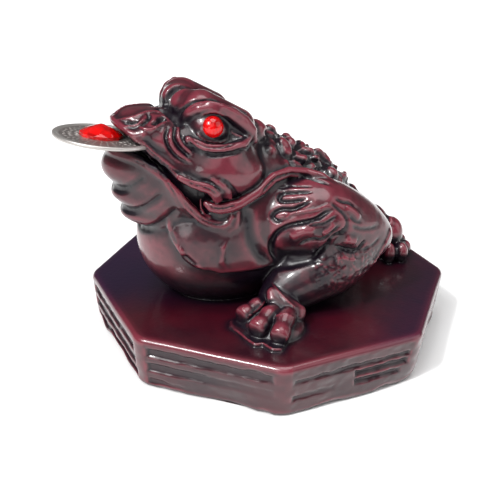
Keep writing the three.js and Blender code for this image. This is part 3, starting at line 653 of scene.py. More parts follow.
def head_field(at):
    """The head with its mouth cut in, and how far places lie outside the mouth's opening"""
    y, z = at[1], at[2]
    face = blend(egg(at, *SKULL), egg(at, *MUZZLE), 4)
    face = blend(blend(face, throat_field(at), 1.2), egg(at, *CHEEK), 2)
    lips = [np.hypot(face, seen_line(at, path)) - LIP_RADIUS for path in (UPPER_LIP, LOWER_LIP)]
    gap = (np.abs(z - eased_table(y, MOUTH_LEVEL)) - eased_table(y, MOUTH_GAP)) * 0.8
    mouth = np.where(y < MOUTH_CORNER, np.maximum(gap, -face - eased_table(y, MOUTH_DEPTH)), 9)
    head = carve(melted(face, lips, 0.8), mouth, 0.8)
    head = blend(head, egg(at, *LIP_CORNER), 1)
    head = melted(head, (limb(at, end) for end in LIP_ENDS), 0.35)
    head = blend(head, carve(limb(at, BROW), limb(at, BROW_VALLEY), 0.8), 0.9)
    head = carve(head, egg(at, *EYE_HOLLOW), 1)
    head = blend(head, egg(at, *EYEBALL), 0.8)
    head = melted(head, (limb(at, lid) for lid in (UPPER_LID, LOWER_LID)), 1)
    return blend(head, limb(at, NOSTRIL), 0.8), mouth


def arm_field(at):
    """The arm, and its foot with the thumb and the sole"""
    arm = blend(swelling(at, UPPER_ARM), swelling(at, FOREARM), 3)
    foot = melted(egg(at, *PALM), (stub(at, toe) for toe in TOES), 0.5)
    foot = blend(foot, blend(limb(at, THUMB[0]), limb(at, THUMB[1]), 1.5), 0.6)
    return carve(arm, limb(at, ARM_CREASE), 1.2), blend(foot, slab(at, SOLE, SOLE_HEIGHT), 0.4)


def toad_field(at):
    """How far places lie outside the toad, the same on both of its sides"""
    at = (np.abs(at[0]), at[1], at[2])
    head, mouth = head_field(at)
    arm, foot = arm_field(at)
    form = blend(carve(body_field(at), mouth, 0.8), head, 1.2)
    form = blend(blend(form, arm, 1), foot, 0.8)
    hind = melted(limb(at, HIND_LEG), (egg(at, *part) for part in HIND_FOOT), 0.9)
    return blend(blend(form, hind, 1.5), limb(at, CORD), 0.5)


def rooted_field(at):
    """The toad with the fillet that runs from it into the plinth's top, and a little below that"""
    form = toad_field(at)
    rooted = blend(form, at[2] + FOOT_SINK, FOOT_FILLET)
    return np.maximum(np.maximum(rooted, form - FOOT_FILLET - 0.3), -1 - at[2])


def sampled_half(field, box, cell):
    """A field on a grid over one half of the toad, worked out only in the blocks near its skin"""
    low, high = np.array(box, float)
    width = cell * SKIN_BLOCK
    blocks = np.ceil((high - low) / width).astype(int)
    values = np.full(blocks * SKIN_BLOCK + 1, UNSEEN, np.float32)
    wanted = np.zeros(values.shape, bool)
    corners = np.argwhere(np.ones(blocks))
    for corner, middle in zip(corners * SKIN_BLOCK, field((low + (corners + 0.5) * width).T)):
        if middle < 0:
            values[tuple(slice(c, c + SKIN_BLOCK) for c in corner)] = -UNSEEN
        if abs(middle) < width * BLOCK_REACH + 1:
            wanted[tuple(slice(c, c + SKIN_BLOCK + 1) for c in corner)] = True
    places = np.argwhere(wanted)
    parts = np.array_split(places, len(places) // MOST_AT_ONCE + 1)
    values[wanted] = np.concatenate([field((low + part * cell).T) for part in parts])
    return values


def surface_net(values, low, cell):
    """Points and four-sided faces of the surface where the values pass zero"""
    inside = values < 0
    shape = np.array(values.shape)
    corners = list(np.ndindex(2, 2, 2))
    count = sum(inside[tuple(slice(c, n - 1 + c) for c, n in zip(corner, shape))].astype(np.int8)
                for corner in corners)
    crossed = (count > 0) & (count < 8)
    cells = np.argwhere(crossed)
    number = np.full(crossed.shape, -1)
    number[crossed] = np.arange(len(cells))
    total, hits = np.zeros((len(cells), 3)), np.zeros(len(cells))
    at_corner = {corner: values[tuple((cells + corner).T)] for corner in corners}
    for corner in corners:
        for axis in (n for n in range(3) if not corner[n]):
            other = tuple(1 if n == axis else c for n, c in enumerate(corner))
            a, b = at_corner[corner], at_corner[other]
            passes = (a < 0) != (b < 0)
            place = np.tile(np.array(corner, float), (len(cells), 1))
            place[:, axis] += np.where(passes, a / (a - b + 1e-30), 0)
            total += place * passes[:, None]
            hits += passes
    points = low + (cells + total / hits[:, None]) * cell
    faces = []
    for axis in range(3):
        sides = [(axis + 1) % 3, (axis + 2) % 3]
        start = inside[tuple(slice(0, shape[n] - (n == axis)) for n in range(3))]
        end = inside[tuple(slice(n == axis, shape[n]) for n in range(3))]
        edges = np.argwhere(start != end)
        clear = (edges[:, sides] > 0) & (edges[:, sides] < shape[sides] - 1)
        edges = edges[clear.all(1)]
        ring = []
        for back in ((1, 1), (0, 1), (0, 0), (1, 0)):
            near = edges.copy()
            near[:, sides] -= back
            ring.append(number[tuple(near.T)])
        ring = np.stack(ring, 1)
        outward = start[tuple(edges.T)]
        ring[~outward] = ring[~outward][:, ::-1]
        faces.append(ring)
    return points, np.concatenate(faces)


def toad_skin(cell):
    """The skin's points, each moved up or down the field's slope onto the true surface, and its faces"""
    half = sampled_half(rooted_field, SKIN_HALF_BOX, cell)
    low = np.array(SKIN_HALF_BOX[0], float)
    low[0] = -(len(half) - 1) * cell
    points, faces = surface_net(np.concatenate([half[:0:-1], half]), low, cell)
    steps = np.eye(3) * SLOPE_REACH
    rises = [rooted_field((points + step).T) - rooted_field((points - step).T) for step in steps]
    slope = np.stack(rises, 1) / (2 * SLOPE_REACH)
    slope /= (slope ** 2).sum(1, keepdims=True) + 0.1
    return points - 0.8 * slope * rooted_field(points.T)[:, None] + [0, 0, PLINTH_HEIGHT], faces


skin_points, skin_faces = toad_skin(SKIN_CELL)

# The lines of the skin, cut (-) into the smooth form or raised (+) on it: height and half width in mm,
# then the line's path over the shown side, in pixels of the photograph. Its other side has the same.
SKIN_LINES = {
    "crease between snout and brow": (-1.2, 1.4, [
        (155, 109), (163, 110), (170, 115), (177, 121), (181, 128)]),
    "crease over the lid": (-0.8, 0.7, [
        (179, 117), (183, 109.6), (188.7, 104.5), (199, 101.5), (213.7, 101.5), (225.4, 104.5),
        (237, 108.4), (248, 114)]),
    "crest of the lid": (0.4, 0.7, [
        (187, 109), (192, 105.5), (200, 103), (209, 102.5), (219, 104.5), (229, 108.5), (239, 114),
        (248, 120)]),
    "upper rim of the eye": (0.4, 0.6, [(200, 117), (205, 113), (214, 111.5), (221, 113.5), (225, 117)]),
    "lower rim of the eye": (0.55, 0.55, [(196, 132), (203, 139), (213, 142), (222, 142), (228, 138)]),
    "corner of the eye": (0.4, 0.5, [(230, 131), (236, 135), (244, 138)]),
    "fold in the lower lid": (-0.5, 0.7, [(192, 137), (198, 143), (209, 147), (222, 147), (236, 143)]),
    "fold under the lower lid": (-1.1, 0.9, [
        (188, 141), (194, 148), (203, 153), (214, 155), (228, 154), (240, 151), (249, 148)]),
    "first wrinkle before the eye": (-1.0, 0.8, [
        (168, 127), (166, 139), (170, 149), (178, 157), (190, 163)]),
    "second wrinkle before the eye": (-0.9, 0.7, [(175, 126), (174, 138), (180, 148), (190, 157)]),
    "ridge between the wrinkles": (0.85, 0.8, [
        (171.5, 128), (170, 139), (174, 149), (182, 157), (192, 163)]),
    "ridge nearer the eye": (0.8, 0.7, [(179, 126), (178, 137), (183, 146), (192, 154)]),
    "third wrinkle before the eye": (-0.6, 0.6, [(183, 122), (180, 131), (184, 141)]),
    "rim of the nostril": (0.35, 0.8, [
        (116, 120), (125, 119), (135, 116.5), (146, 112), (156, 111.5), (164, 114)]),
    "hollow under the rim": (-0.9, 1.0, [(126, 123), (132, 123), (139, 121.5)]),
    "fold of the first nostril": (-1.0, 0.7, [(148, 113.5), (149.5, 117.5), (146, 121.5), (140, 125)]),
    "wing of the first nostril": (0.5, 0.6, [(125, 126), (133, 126), (141, 122.5), (145, 118)]),
    "second nostril": (-1.5, 1.3, [(153, 125), (156, 122), (161, 119), (166, 118)]),
    "wing of the second nostril": (0.5, 0.6, [
        (138, 127), (146, 129.5), (152, 129.5), (159, 125), (167, 121)]),
    "line in the upper lip": (-0.6, 0.6, [
        (135, 137), (147, 149), (162, 162), (177, 172), (193, 179), (208, 182), (220, 189)]),
    "line through the cord's end": (-0.7, 0.5, [
        (208, 204), (212, 207.4), (219, 208.4), (227, 207.6), (236, 205)]),
    "line in the upper lip's end": (-0.5, 0.5, [
        (186, 181), (194, 184.5), (203, 187), (211, 190), (217, 195)]),
    "line behind the lips": (-0.6, 0.5, [(222, 179), (229, 184), (235, 191), (240, 199)]),
    "line in the front of the lower lip": (-0.45, 0.5, [
        (128, 158), (142, 164), (156, 171), (166, 180), (172, 190), (178, 199)]),
    "line in the lower lip": (-0.5, 0.5, [
        (183, 201), (190, 209), (198, 216.5), (206, 221.5), (217, 224.5), (226, 223)]),
    "first crease of the throat": (-0.6, 1.8, [
        (101, 181), (109, 187), (120, 190), (132, 186), (146, 176)]),
    "second crease of the throat": (-0.6, 1.7, [
        (111, 201), (123, 209), (137, 210), (150, 204), (165, 193)]),
    "third crease of the throat": (-0.7, 1.7, [
        (127, 221), (140, 228), (154, 226), (166, 219), (177, 208)]),
    "gap before the arm": (-1.0, 2.6, [(246, 208), (248, 222), (251, 238), (258, 252), (269, 264)]),
    "edge of the chest": (0.5, 1.3, [(168, 214), (171, 232), (180, 250), (192, 262), (205, 270)]),
    "hollow under the cord": (-1.2, 1.1, [
        (262, 194), (269, 186), (277, 179), (285, 176), (295, 175), (307, 177), (320, 181), (331, 185)]),
    "top wrinkle of the arm": (-0.5, 0.5, [(277, 188), (290, 186), (312, 187)]),
    "tongue of the arm": (-1.2, 0.8, [
        (313, 192), (298, 192), (284, 193), (279, 197), (281, 201), (292, 201), (307, 199)]),
    "hook of the arm": (-1.3, 0.9, [
        (311, 201), (302, 205), (293, 209), (282, 209), (275, 212), (272, 217), (277, 221), (284, 220)]),
    "edge of the band": (0.45, 0.5, [(285, 218), (293, 213), (305, 211), (318, 209), (330, 204)]),
    "edge of the panel": (-1.4, 1.0, [
        (335, 208), (326, 213), (317, 219), (307, 222), (297, 224), (287, 227), (277, 233), (272, 241),
        (272, 252), (278, 262)]),
    "ridge of the elbow": (0.6, 0.9, [(386, 211), (391, 220), (389, 234), (381, 250), (370, 266)]),
    "crack of the elbow's fold": (-1.5, 1.1, [
        (311, 259), (320, 251), (328, 243), (335, 236), (346, 229)]),
    "groove over the forearm": (-1.2, 0.9, [
        (335, 246), (343, 249), (350, 250.5), (357, 250), (362, 245), (365, 240)]),
    "lump over the fold": (1.0, 1.8, [(345, 239), (350, 240.5), (356, 241.5)]),
    "lump of the forearm": (0.6, 1.9, [(335, 259), (342, 257.5), (349, 259), (355, 261)]),
    "edge of the plateau": (-0.6, 0.8, [
        (331, 203), (337, 208), (343, 213), (347, 219), (347, 226), (342, 231)]),
    "lump of the elbow": (0.5, 1.4, [(345, 207), (351, 210), (356, 214), (360, 219)]),
    "pit in the elbow": (-0.4, 0.7, [(350, 216), (355, 221), (362, 223)]),
    "first pleat of the elbow": (-0.4, 0.9, [(352, 226), (360, 229), (369, 229), (378, 226)]),
    "second pleat of the elbow": (-0.35, 0.9, [(356, 252), (366, 249), (374, 244), (380, 237)]),
    "first lump of the panel": (0.8, 2.0, [(290, 238), (298, 234), (307, 231), (315, 232)]),
    "second lump of the panel": (0.6, 1.2, [(322, 234), (329, 230), (335, 224)]),
    "crack in the panel": (-1.0, 0.7, [
        (299, 245), (306, 241), (314, 239), (321, 239.5), (328, 236), (334, 230), (340, 226)]),
    "upper crack in the panel": (-0.7, 0.6, [
        (308, 226), (316, 225), (324, 224), (331, 220), (337, 216)]),
    "crack of the upper arm": (-0.7, 0.7, [(336, 199), (343, 202), (349, 203), (355, 207)]),
    "edge between the toes": (0.35, 0.4, [
        (265.6, 300), (262, 305), (257, 310), (251, 314.5), (246, 319)]),
    "edge of the thumb": (0.35, 0.6, [(271, 282), (278, 291), (287, 301), (297, 309)]),
    "rim of the sole": (0.35, 0.5, [
        (231, 327.5), (239, 332.5), (248, 340), (256, 344.7), (263, 343.7), (273, 349.3),
        (284.6, 349.3)]),
    "arc over the third toe": (0.35, 0.4, [
        (274, 321), (276, 317), (281, 314), (287, 314), (292, 317), (295, 320)]),
}
LINE_STEP = 1.5
LINE_BREAK = 2.5
CUT_SHARPNESS = 1.4
# Coarse skin stands up in warts with clear gaps: middle and half sizes of each patch, the warts' width,
# and how high they stand
WART_PATCHES = [
    ((0, 10, 36), (17, 24, 20), 5.8, 1.6), ((28, 9, 12), (9, 12, 7), 1.6, 0.2),
]
GRAIN_HEIGHT = 0.07
SHUT_REACHES = (1.5, 4, 9)
# Between which shares of being shut in the painted shade comes in, on each piece
SHUT_IN_SHADE = {"toad": (0.08, 0.45), "plinth": (0.3, 1.1)}
# Patches darkened in blotches: middle and half sizes of each patch, and how black it is
BLOTCHED = [
    ((26, -1, 9), (9, 13, 7), 0.85), ((28, -3, 22), (7, 11, 7), 0.8), ((17, -28, 20), (9, 16, 9), 0.55),
    ((8, -44, 36), (12, 9, 14), 0.5), ((30, -13, 3), (10, 9, 4), 0.5), ((22, 17, 16), (8, 7, 8), 0.35),
]


def on_skin(tree, path):
    """Pieces of a line on the skin, where the camera sees the pixels of a path"""
    pieces, piece = [], []
    for pixel in curved(path, LINE_STEP):
        place, facing, _, _ = tree.ray_cast(CAMERA_PLACE / MM, sight_line(pixel))
        if place is None or (piece and (place - piece[-1][0]).length > LINE_BREAK):
            pieces.append(piece)
            piece = []
        if place is not None:
            piece.append((place, facing))
    return [piece for piece in [*pieces, piece] if len(piece) > 2]


def line_relief(points, normals, piece, half_width, height):
    """How far each point is moved along its normal by one piece of a line"""
    path, facing = (np.array(values) for values in zip(*piece))
    low, high = path.min(0) - half_width, path.max(0) + half_width
    near = ((points > low) & (points < high)).all(1) & (normals @ facing.mean(0) > 0.1)
    at = points[near]
    gap, along = np.full(len(at), FAR), np.zeros(len(at))
    for n, (start, end) in enumerate(zip(path[:-1], path[1:])):
        run = end - start
        share = np.clip(((at - start) @ run) / (run @ run + 1e-9), 0, 1)
        away = np.linalg.norm(at - start - share[:, None] * run, axis=1)
        closer = away < gap
        gap[closer] = away[closer]
        along[closer] = (n + share[closer]) / (len(path) - 1)
    taper = np.minimum(ease(along, -0.04, 0.16), 1 - ease(along, 0.84, 1.04))
    side = np.clip(1 - gap / half_width, 0, 1)
    moved = np.zeros(len(points))
    moved[near] = height * taper * (ease(side, 0, 1) if height > 0 else side ** CUT_SHARPNESS)
    return moved


def scattered(points, size, seed):
    """How far points are from the nearest of many scattered places, and how much farther from the next"""
    jitter = np.random.default_rng(seed).uniform(0, 1, (LATTICE, LATTICE, LATTICE, 3))
    place = points / size + 400
    whole = np.floor(place).astype(int)
    near, second = np.full((2, len(points)), 9.0)
    for step in np.ndindex(3, 3, 3):
        box = whole + np.array(step) - 1
        gap = np.linalg.norm(place - box - jitter[tuple((box % LATTICE).T)], axis=1)
        second = np.minimum(second, np.maximum(gap, near))
        near = np.minimum(near, gap)
    return near * size, (second - near) * size


def place_points(piece, points):
    piece.data.vertices.foreach_set("co", (points * MM).astype(np.float32).ravel())
    piece.data.update()


def cut_lines(piece):
    """Cut and raise the skin's lines, the shown side's and their mirror image on the other side"""
    points, normals = points_of(piece), normals_of(piece)
    tree = BVHTree.FromPolygons(points.tolist(), skin_faces.tolist())
    mirror = np.where(points[:, :1] < 0, [-1, 1, 1], 1)
    folded, turned = points * mirror, normals * mirror
    cut, raised = np.zeros((2, len(points)))
    for height, half_width, path in SKIN_LINES.values():
        for part in on_skin(tree, path):
            moved = line_relief(folded, turned, part, half_width, height)
            cut, raised = np.minimum(cut, moved), np.maximum(raised, moved)
    place_points(piece, points + normals * (cut + raised)[:, None])
    mark(piece, "ridge", raised)


def over_plinth(points):
    """Places counted from the plinth's top, as rows of x, y and z, all on the toad's left side"""
    x, y, z = (points - [0, 0, PLINTH_HEIGHT]).T
    return np.stack([np.abs(x), y, z])


def within(at, middle, half, start, end):
    """1 well within an egg, 0 outside it, eased between two shares of its smallest half length"""
    return 1 - ease(egg(at, middle, half) / min(half), start, end)


def raise_warts(piece):
    """Warts on the back and scales on the arm, away from the head and the cord, and a fine grain all over
    """
    points, normals = points_of(piece), normals_of(piece)
    at = points - [0, 0, PLINTH_HEIGHT]
    folded = over_plinth(points)
    bare = ease(head_field(folded)[0], 0.8, 2.2) * ease(limb(folded, CORD), 0.3, 1.2)
    rise, coarse = np.zeros((2, len(points)))
    lumps = waves(points, 2.6, 63)
    for n, (middle, half, size, height) in enumerate(WART_PATCHES):
        share = within(folded, middle, half, -0.25, 0.05) * bare
        sway = np.stack([waves(at, size * 0.9, seed) for seed in (60, 61, 62)], 1)
        near, gap = scattered(at + 0.3 * size * sway, size, 50 + n)
        wart = ease(gap, 0, 0.45 * size) * (1 - 0.5 * (near / size) ** 2)
        rise += share * height * (wart - 0.55 + 0.35 * lumps)
        coarse = np.maximum(coarse, share)
    grain = waves(points, 1.1, 7) + 0.6 * waves(points, 0.55, 8)
    rise += GRAIN_HEIGHT * grain * (0.25 + coarse)
    place_points(piece, points + normals * rise[:, None])


def shut_in(piece):
    """How shut in each point is between the toad's forms and the plinth, from 0 to 1, for the painted
    shade
    """
    points, normals = points_of(piece), normals_of(piece)
    total = np.zeros(len(points))
    for reach in SHUT_REACHES:
        at = (points + normals * reach - [0, 0, PLINTH_HEIGHT]).T
        above = (np.abs(at[:2]).max(0) < PLINTH_HALF) & (points[:, 2] > PLINTH_HEIGHT - 0.5)
        gap = np.minimum(toad_field(at), np.where(above, at[2], 9))
        total += 1 - np.clip(gap / reach, 0, 1)
    return total / len(SHUT_REACHES)


def settle(piece):
    """Make the result of a piece's modifiers its own mesh"""
    made = bpy.data.meshes.new_from_object(piece.evaluated_get(bpy.context.evaluated_depsgraph_get()))
    piece.modifiers.clear()
    piece.data = made
    made.polygons.foreach_set("use_smooth", [True] * len(made.polygons))


def thin(piece, most):
    """Leave a piece fewer triangles, the most where its skin bends most"""
    count = sum(len(face.vertices) - 2 for face in piece.data.polygons)
    if count > most:
        piece.modifiers.new("fewer", "DECIMATE").ratio = most / count
        settle(piece)


def paint_black_and_shade(piece, more=0):
    """Black lies in the mouth and in blotches, with painted shade in what is shut in, under the belly and
    where the toad meets its plinth
    """
    points = points_of(piece)
    at = over_plinth(points)
    z, above = at[2], at[2] > 0.4
    marks = piece.data.attributes["darkening"].data
    off_ends = np.min([limb(at, end) for end in [*LIP_ENDS, CORD]], axis=0)
    # Painted shade where the toad meets the plinth's top, and under the belly
    shade_at_meeting = 1 - ease(np.maximum(toad_field(at), z), 0.2, 2.2)
    shade_under_belly = (1 - ease(egg(at, *BELLY), 0.3, 1.5)) * (1 - ease(z, 7, 14))
    mottle = ease(0.6 * waves(points, 3.4, 71) + 0.4 * waves(points, 1.3, 72), -0.4, 0.3)
    wash_and_shade = [
        read(marks, "value"),
        (1 - ease(head_field(at)[1], 0.1, 0.9)) * ease(off_ends, 0.1, 0.5),
        # Painted shade where points are shut in between the forms and the plinth
        ease(shut_in(piece), *SHUT_IN_SHADE[piece.name]) * ease(off_ends, 0, 0.4),
        0.85 * shade_at_meeting * (z > -0.5),
        0.95 * shade_under_belly * (z > 0.3),
        *(strength * within(at, middle, half, -0.5, 0.1) * (0.35 + 0.65 * mottle) * above
          for middle, half, strength in BLOTCHED),
    ]
    darkening = np.max(wash_and_shade, axis=0)
    if "ridge" in piece.data.attributes:
        darkening *= 1 - 0.85 * ease(read(piece.data.attributes["ridge"].data, "value"), 0.08, 0.3)
    marks.foreach_set("value", np.maximum(darkening, more).astype(np.float32))


def paint_plinth_black_and_shade():
    """Black in the bars, painted shade round the foot and over the back of the top, and a painted navy
    reflection on the top
    """
    x, y, z = points_of(plinth).T
    on_top = ease(z - PLINTH_HEIGHT, -1.6, -0.2)
    # A painted navy reflection over the top's far sides
    mark(plinth, "navy_reflection", np.maximum(0.85 * ease(-x, -12, 10), 0.5 * ease(x + y, 42, 66)) * on_top)
    paint_black_and_shade(plinth, np.max([
        # Painted shade over the back of the top
        0.3 * ease(y - 0.6 * x, -20, 45) * on_top,
        0.7 * ease(plinth_bars, 0.05, 0.5),
        # Painted shade round the plinth's foot
        0.8 * (1 - ease(z, 0.5, 1.8)),
    ], axis=0))


toad = new_piece("toad", skin_points, skin_faces.tolist(), resin)
cut_lines(toad)
raise_warts(toad)
thin(toad, SKIN_TRIANGLES)
wash_rub_and_sheen(toad, 6, 40)
paint_black_and_shade(toad)
paint_plinth_black_and_shade()
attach(toad, "root")
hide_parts("toad_on_plinth")

# The eyes are two round beads of red glass, with foil behind them, glued into the sockets under the
# brows. Each is a little larger than its solid, which keeps clear of its socket.
BEAD_ROUNDS = 40
BEAD_SWELL = 1.02
BEAD_RED = (0.75, 0.003, 0.004)
GLASS_SHADE = 0.45


def red_glass(name, colour, roughness):
    """Clear red glass with foil behind it: the colour glows a little from inside"""
    material, tree, surface = new_material(name)
    swirl = noise(tree, 260, 2, Distortion=1.2)
    dim = [GLASS_SHADE * c for c in colour]
    feed(tree, surface, {
        "Base Color": shades(tree, swirl, (0.35, dim), (0.65, colour)),
        "Roughness": roughness,
        "Specular IOR Level": 0.3,
        "Coat Weight": 0.6,
        "Coat Roughness": 0.05,
        "Subsurface Weight": 0.3,
        "Subsurface Radius": (0.003, 0.0003, 0.0003),
        "Subsurface Scale": 1,
    })
    return material


bead_glass = red_glass("bead glass", BEAD_RED, 0.12)
for node in ("left_eye_bead", "right_eye_bead"):
    low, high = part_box(node)
    mesh = bpy.data.meshes.new(node)
    ball = bmesh.new()
    bmesh.ops.create_uvsphere(ball, u_segments=2 * BEAD_ROUNDS, v_segments=BEAD_ROUNDS,
                              radius=(high - low).x / 2 * BEAD_SWELL)
    bmesh.ops.translate(ball, verts=ball.verts, vec=(low + high) / 2)
    ball.to_mesh(mesh)
    ball.free()
    mesh.polygons.foreach_set("use_smooth", [True] * len(mesh.polygons))
    mesh.materials.append(bead_glass)
    bead = bpy.data.objects.new(node.replace("_bead", ""), mesh)
    bpy.context.scene.collection.objects.link(bead)
    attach(bead, "root")
    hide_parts(node)

# The coin is a struck disc of silver-coloured metal with a raised rim, worn so far that its relief is
# only low marks. It lies in the mouth, tipped up at its front edge. Sizes are millimetres.
COIN_TILT = 9
COIN_ROLL = 3
COIN_SHIFT = Vector((0, -0.35, -0.45))
COIN_THICKNESS = 0.9
COIN_RIM_WIDTH = 1
COIN_RIM_RISE = 0.25
COIN_EDGE = 0.2
COIN_ROUNDS = 60
COIN_COLUMNS = 240
COIN_FACE = COIN_THICKNESS / 2 - COIN_RIM_RISE
RING_MARKS = 34
RINGS = [(6.6, 0.75), (8.3, 0.6), (9.7, 0.5)]
MARK_WIDTH = 0.17
MARK_RISE = 0.07
MARK_LEAN = 0.7
SILVER = (0.68, 0.65, 0.62, 1)
TARNISH = (0.3, 0.26, 0.25, 1)


def coin_frame():
    low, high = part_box("coin")
    roll = Matrix.Rotation(-math.radians(COIN_ROLL), 4, "Y")
    tilt = Matrix.Rotation(-math.radians(COIN_TILT), 4, "X")
    return Matrix.Translation((low + high) / 2 + COIN_SHIFT * MM) @ roll @ tilt


def worn_silver():
    """Silver-coloured metal, dull and darker where dirt has stayed in its relief"""
    material, tree, surface = new_material("worn silver")
    stains = noise(tree, 500, 6)
    tarnish = sums(tree, "MULTIPLY_ADD", stains, 0.5, marked(tree, "darkening"), clamp=True)
    feed(tree, surface, {
        "Base Color": mixed(tree, tarnish, SILVER, TARNISH),
        "Metallic": 0.85,
        "Roughness": spread(tree, stains, 0.28, 0.55),
    })
    return material


def coin_mesh(radius):
    """Points, faces and hollows of the coin about its own middle, in mm"""
    reach = np.linspace(0.03, radius, COIN_ROUNDS)
    turn = np.arange(COIN_COLUMNS) / COIN_COLUMNS * 2 * math.pi
    inner = radius - COIN_RIM_WIDTH
    past = np.clip((reach - radius + COIN_EDGE) / COIN_EDGE, 0, 1)
    rim = ease(reach, inner - 0.4, inner)
    flat = COIN_FACE + COIN_RIM_RISE * rim - COIN_EDGE * (1 - np.sqrt(1 - past ** 2))
    profile = [*zip(reach, -flat), *zip(reach[::-1], flat[::-1])]
    rows = [np.stack([r * np.cos(turn), r * np.sin(turn), 0 * turn + z], 1) for r, z in profile]
    points = np.concatenate(rows)
    on_field = 1 - ease(np.hypot(points[:, 0], points[:, 1]), inner - 0.9, inner - 0.3)
    worn = waves(points, 1.3, 21)
    points[:, 2] += np.sign(points[:, 2]) * 0.05 * worn * on_field
    points = np.concatenate([points, [[0, 0, points[0, 2]], [0, 0, points[-1, 2]]]])
    hollow = np.append(on_field * (0.8 - 0.4 * worn), [0.5, 0.5])
    return points, closed_rounds(2 * COIN_ROUNDS, COIN_COLUMNS), hollow


def ring_tree(material):
    """Geometry nodes that lay one ring of worn marks on each face of a coin"""
    tree = bpy.data.node_groups.new("ring of marks", "GeometryNodeTree")
    lengths = ("Ring radius", "Mark length", "Mark width", "Mark rise", "Face height")
    tree.interface.new_socket("Geometry", in_out="OUTPUT", socket_type="NodeSocketGeometry")
    for name, kind in [("Geometry", "Geometry"), *((name, "Float") for name in lengths), ("Marks", "Int")]:
        tree.interface.new_socket(name, in_out="INPUT", socket_type="NodeSocket" + kind)
    given = new_node(tree, "NodeGroupInput").outputs
    count, radius = given["Marks"], given["Ring radius"]
    ring = new_node(tree, "GeometryNodeMeshCircle", {"Vertices": count, "Radius": radius})
    blob = new_node(tree, "GeometryNodeMeshUVSphere", {"Segments": 8, "Rings": 6, "Radius": 1})
    place = new_node(tree, "GeometryNodeInputPosition").outputs[0]
    axes = new_node(tree, "ShaderNodeSeparateXYZ", {0: place}).outputs
    lean = new_node(tree, "FunctionNodeRandomValue", {2: -MARK_LEAN, 3: MARK_LEAN, "Seed": 12}).outputs[1]
    angle = sums(tree, "ADD", sums(tree, "ARCTAN2", axes["Y"], axes["X"]), lean)
    turn = new_node(tree, "ShaderNodeCombineXYZ", {"Z": angle})
    size = new_node(tree, "ShaderNodeCombineXYZ", dict(zip("XYZ", (given[name] for name in lengths[1:4]))))
    laid = new_node(tree, "GeometryNodeInstanceOnPoints", {
        "Points": ring.outputs["Mesh"], "Instance": blob.outputs["Mesh"],
        "Rotation": turn.outputs[0], "Scale": size.outputs[0],
    })
    whole = new_node(tree, "GeometryNodeJoinGeometry", {0: given["Geometry"]})
    for side in (1, -1):
        height = sums(tree, "MULTIPLY", given["Face height"], side)
        offset = new_node(tree, "ShaderNodeCombineXYZ", {"Z": height})
        moved = {"Geometry": laid.outputs["Instances"], "Translation": offset.outputs[0]}
        feed(tree, whole, {0: new_node(tree, "GeometryNodeTransform", moved).outputs["Geometry"]})
    real = new_node(tree, "GeometryNodeRealizeInstances", {"Geometry": whole.outputs[0]})
    paint = {"Geometry": real.outputs["Geometry"], "Material": material}
    painted = new_node(tree, "GeometryNodeSetMaterial", paint)
    new_node(tree, "NodeGroupOutput", {"Geometry": painted.outputs["Geometry"]})
    return tree


def add_rings(piece, material):
    """Rings of marks on both faces of a coin that lies flat about the origin, in mm"""
    tree = ring_tree(material)
    names = {item.name: item.identifier for item in tree.interface.items_tree if item.in_out == "INPUT"}
    for radius, length in RINGS:
        ring = piece.modifiers.new("ring of marks", "NODES")
        ring.node_group = tree
        sizes = {"Ring radius": radius, "Mark length": length, "Mark width": MARK_WIDTH,
                 "Mark rise": MARK_RISE, "Face height": COIN_FACE, "Marks": RING_MARKS}
        for name, size in sizes.items():
            ring[names[name]] = size
    settle(piece)


def on_coin(points):
    """Points in mm about the coin's middle, turned and moved to the coin's place, still in mm"""
    whole = np.array(coin_frame())
    return points @ whole[:3, :3].T + whole[:3, 3] / MM


coin_low, coin_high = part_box("coin")
coin_points, coin_faces, coin_hollow = coin_mesh((coin_high - coin_low).x / 2 / MM)
silver = worn_silver()
coin = new_piece("coin_disc", coin_points / MM, coin_faces, silver)
mark(coin, "darkening", 0.75 * coin_hollow)
add_rings(coin, silver)
place_points(coin, on_coin(points_of(coin) * MM))
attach(coin, "root")
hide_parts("coin")

# The stone is cut red glass, glued in a shallow seat in the middle of the coin: a straight girdle, two
# rows of facets and a small table. Sizes are millimetres above the coin's middle.
STONE_SIDES = 10
STONE_WIDTH = 10.6
STONE_FORWARD = 0.75
STONE_SINK = 0.2
STONE_GIRDLE = 0.8
STONE_HEIGHT = 3
STONE_RED = (0.72, 0.003, 0.003)
# Each round of corners above the girdle: its share of the width and of the crown's height, and its turn
# in sides
CROWN = [(0.8, 0.3, 0.5), (0.46, 0.68, 0), (0.1, 1, 0.5)]


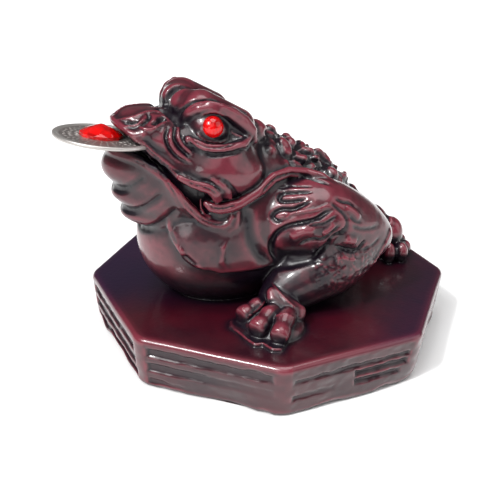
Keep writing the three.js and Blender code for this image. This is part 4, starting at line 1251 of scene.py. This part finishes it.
def stone_mesh():
    radius, girdle = STONE_WIDTH / 2, COIN_FACE + STONE_GIRDLE
    crown = STONE_HEIGHT - STONE_GIRDLE
    rows = [(radius, COIN_FACE - STONE_SINK, 0), (radius, girdle, 0),
            *((radius * share, girdle + rise * crown, turn) for share, rise, turn in CROWN)]
    points, faces = [], []
    for reach, z, turn in rows:
        for n in range(STONE_SIDES):
            angle = 2 * math.pi * (n + turn) / STONE_SIDES
            points.append((reach * math.cos(angle), reach * math.sin(angle) - STONE_FORWARD, z))
    for row in range(len(rows) - 1):
        low, high = row * STONE_SIDES, (row + 1) * STONE_SIDES
        for n in range(STONE_SIDES):
            after = (n + 1) % STONE_SIDES
            if rows[row][2] == rows[row + 1][2]:
                faces.append((low + n, low + after, high + after, high + n))
            elif rows[row + 1][2]:
                faces += [(low + n, low + after, high + n), (low + after, high + after, high + n)]
            else:
                faces += [(low + n, high + after, high + n), (low + n, low + after, high + after)]
    faces.append(list(range(STONE_SIDES))[::-1])
    faces.append([(len(rows) - 1) * STONE_SIDES + n for n in range(STONE_SIDES)])
    return np.array(points), faces


stone_points, stone_faces = stone_mesh()
stone_glass = red_glass("stone glass", STONE_RED, 0.1)
stone = new_piece("stone", on_coin(stone_points), stone_faces, stone_glass, smooth=False)
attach(stone, "root")
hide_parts("coin_stone")

# A plain pale floor in soft studio light: wide lights high before the figure and overhead, weaker
# ones low at the front and behind at the right, a small one for the glints, and a dim pale room all
# round. Each light is the way it comes from, how wide it looks in degrees, and its strength.
FLOOR_HALF = 6000
LIGHTS = [
    ("key light", (0.15, -0.65, 0.75), 38, 1.9),
    ("glint light", (0.2, -0.62, 0.75), 5, 1.5),
    ("low light", (0.58, -0.8, 0.2), 16, 0.25),
    ("front light", (0.7, -0.35, 0.65), 46, 0.45),
    ("top light", (0.1, 0.1, 1), 44, 1.5),
    ("back light", (0.55, 0.75, 0.45), 50, 0.6),
]
ROOM_LIGHT = 0.1
BACKDROP_LIGHT = 0.95


def plain_floor():
    material, tree, surface = new_material("floor")
    feed(tree, surface, {"Base Color": (0.9, 0.9, 0.9, 1), "Roughness": 0.9, "Specular IOR Level": 0.1})
    corners = FLOOR_HALF * np.array([(-1, -1, 0), (1, -1, 0), (1, 1, 0), (-1, 1, 0)])
    return new_piece("floor", corners, [(0, 1, 2, 3)], material, smooth=False)


plain_floor()
for name, way, width, strength in LIGHTS:
    light = bpy.data.objects.new(name, bpy.data.lights.new(name, "SUN"))
    bpy.context.scene.collection.objects.link(light)
    light.rotation_euler = Vector(way).to_track_quat("Z", "Y").to_euler()
    light.data.angle = math.radians(width)
    light.data.energy = strength
world = bpy.data.worlds.new("room")
world.use_nodes = True
tree = world.node_tree
seen = new_node(tree, "ShaderNodeLightPath").outputs["Is Camera Ray"]
glow = sums(tree, "MULTIPLY_ADD", seen, BACKDROP_LIGHT - ROOM_LIGHT, ROOM_LIGHT)
feed(tree, tree.nodes["Background"], {"Color": (1, 1, 1, 1), "Strength": glow})
bpy.context.scene.world = world
bpy.context.scene.view_settings.view_transform = "Standard"
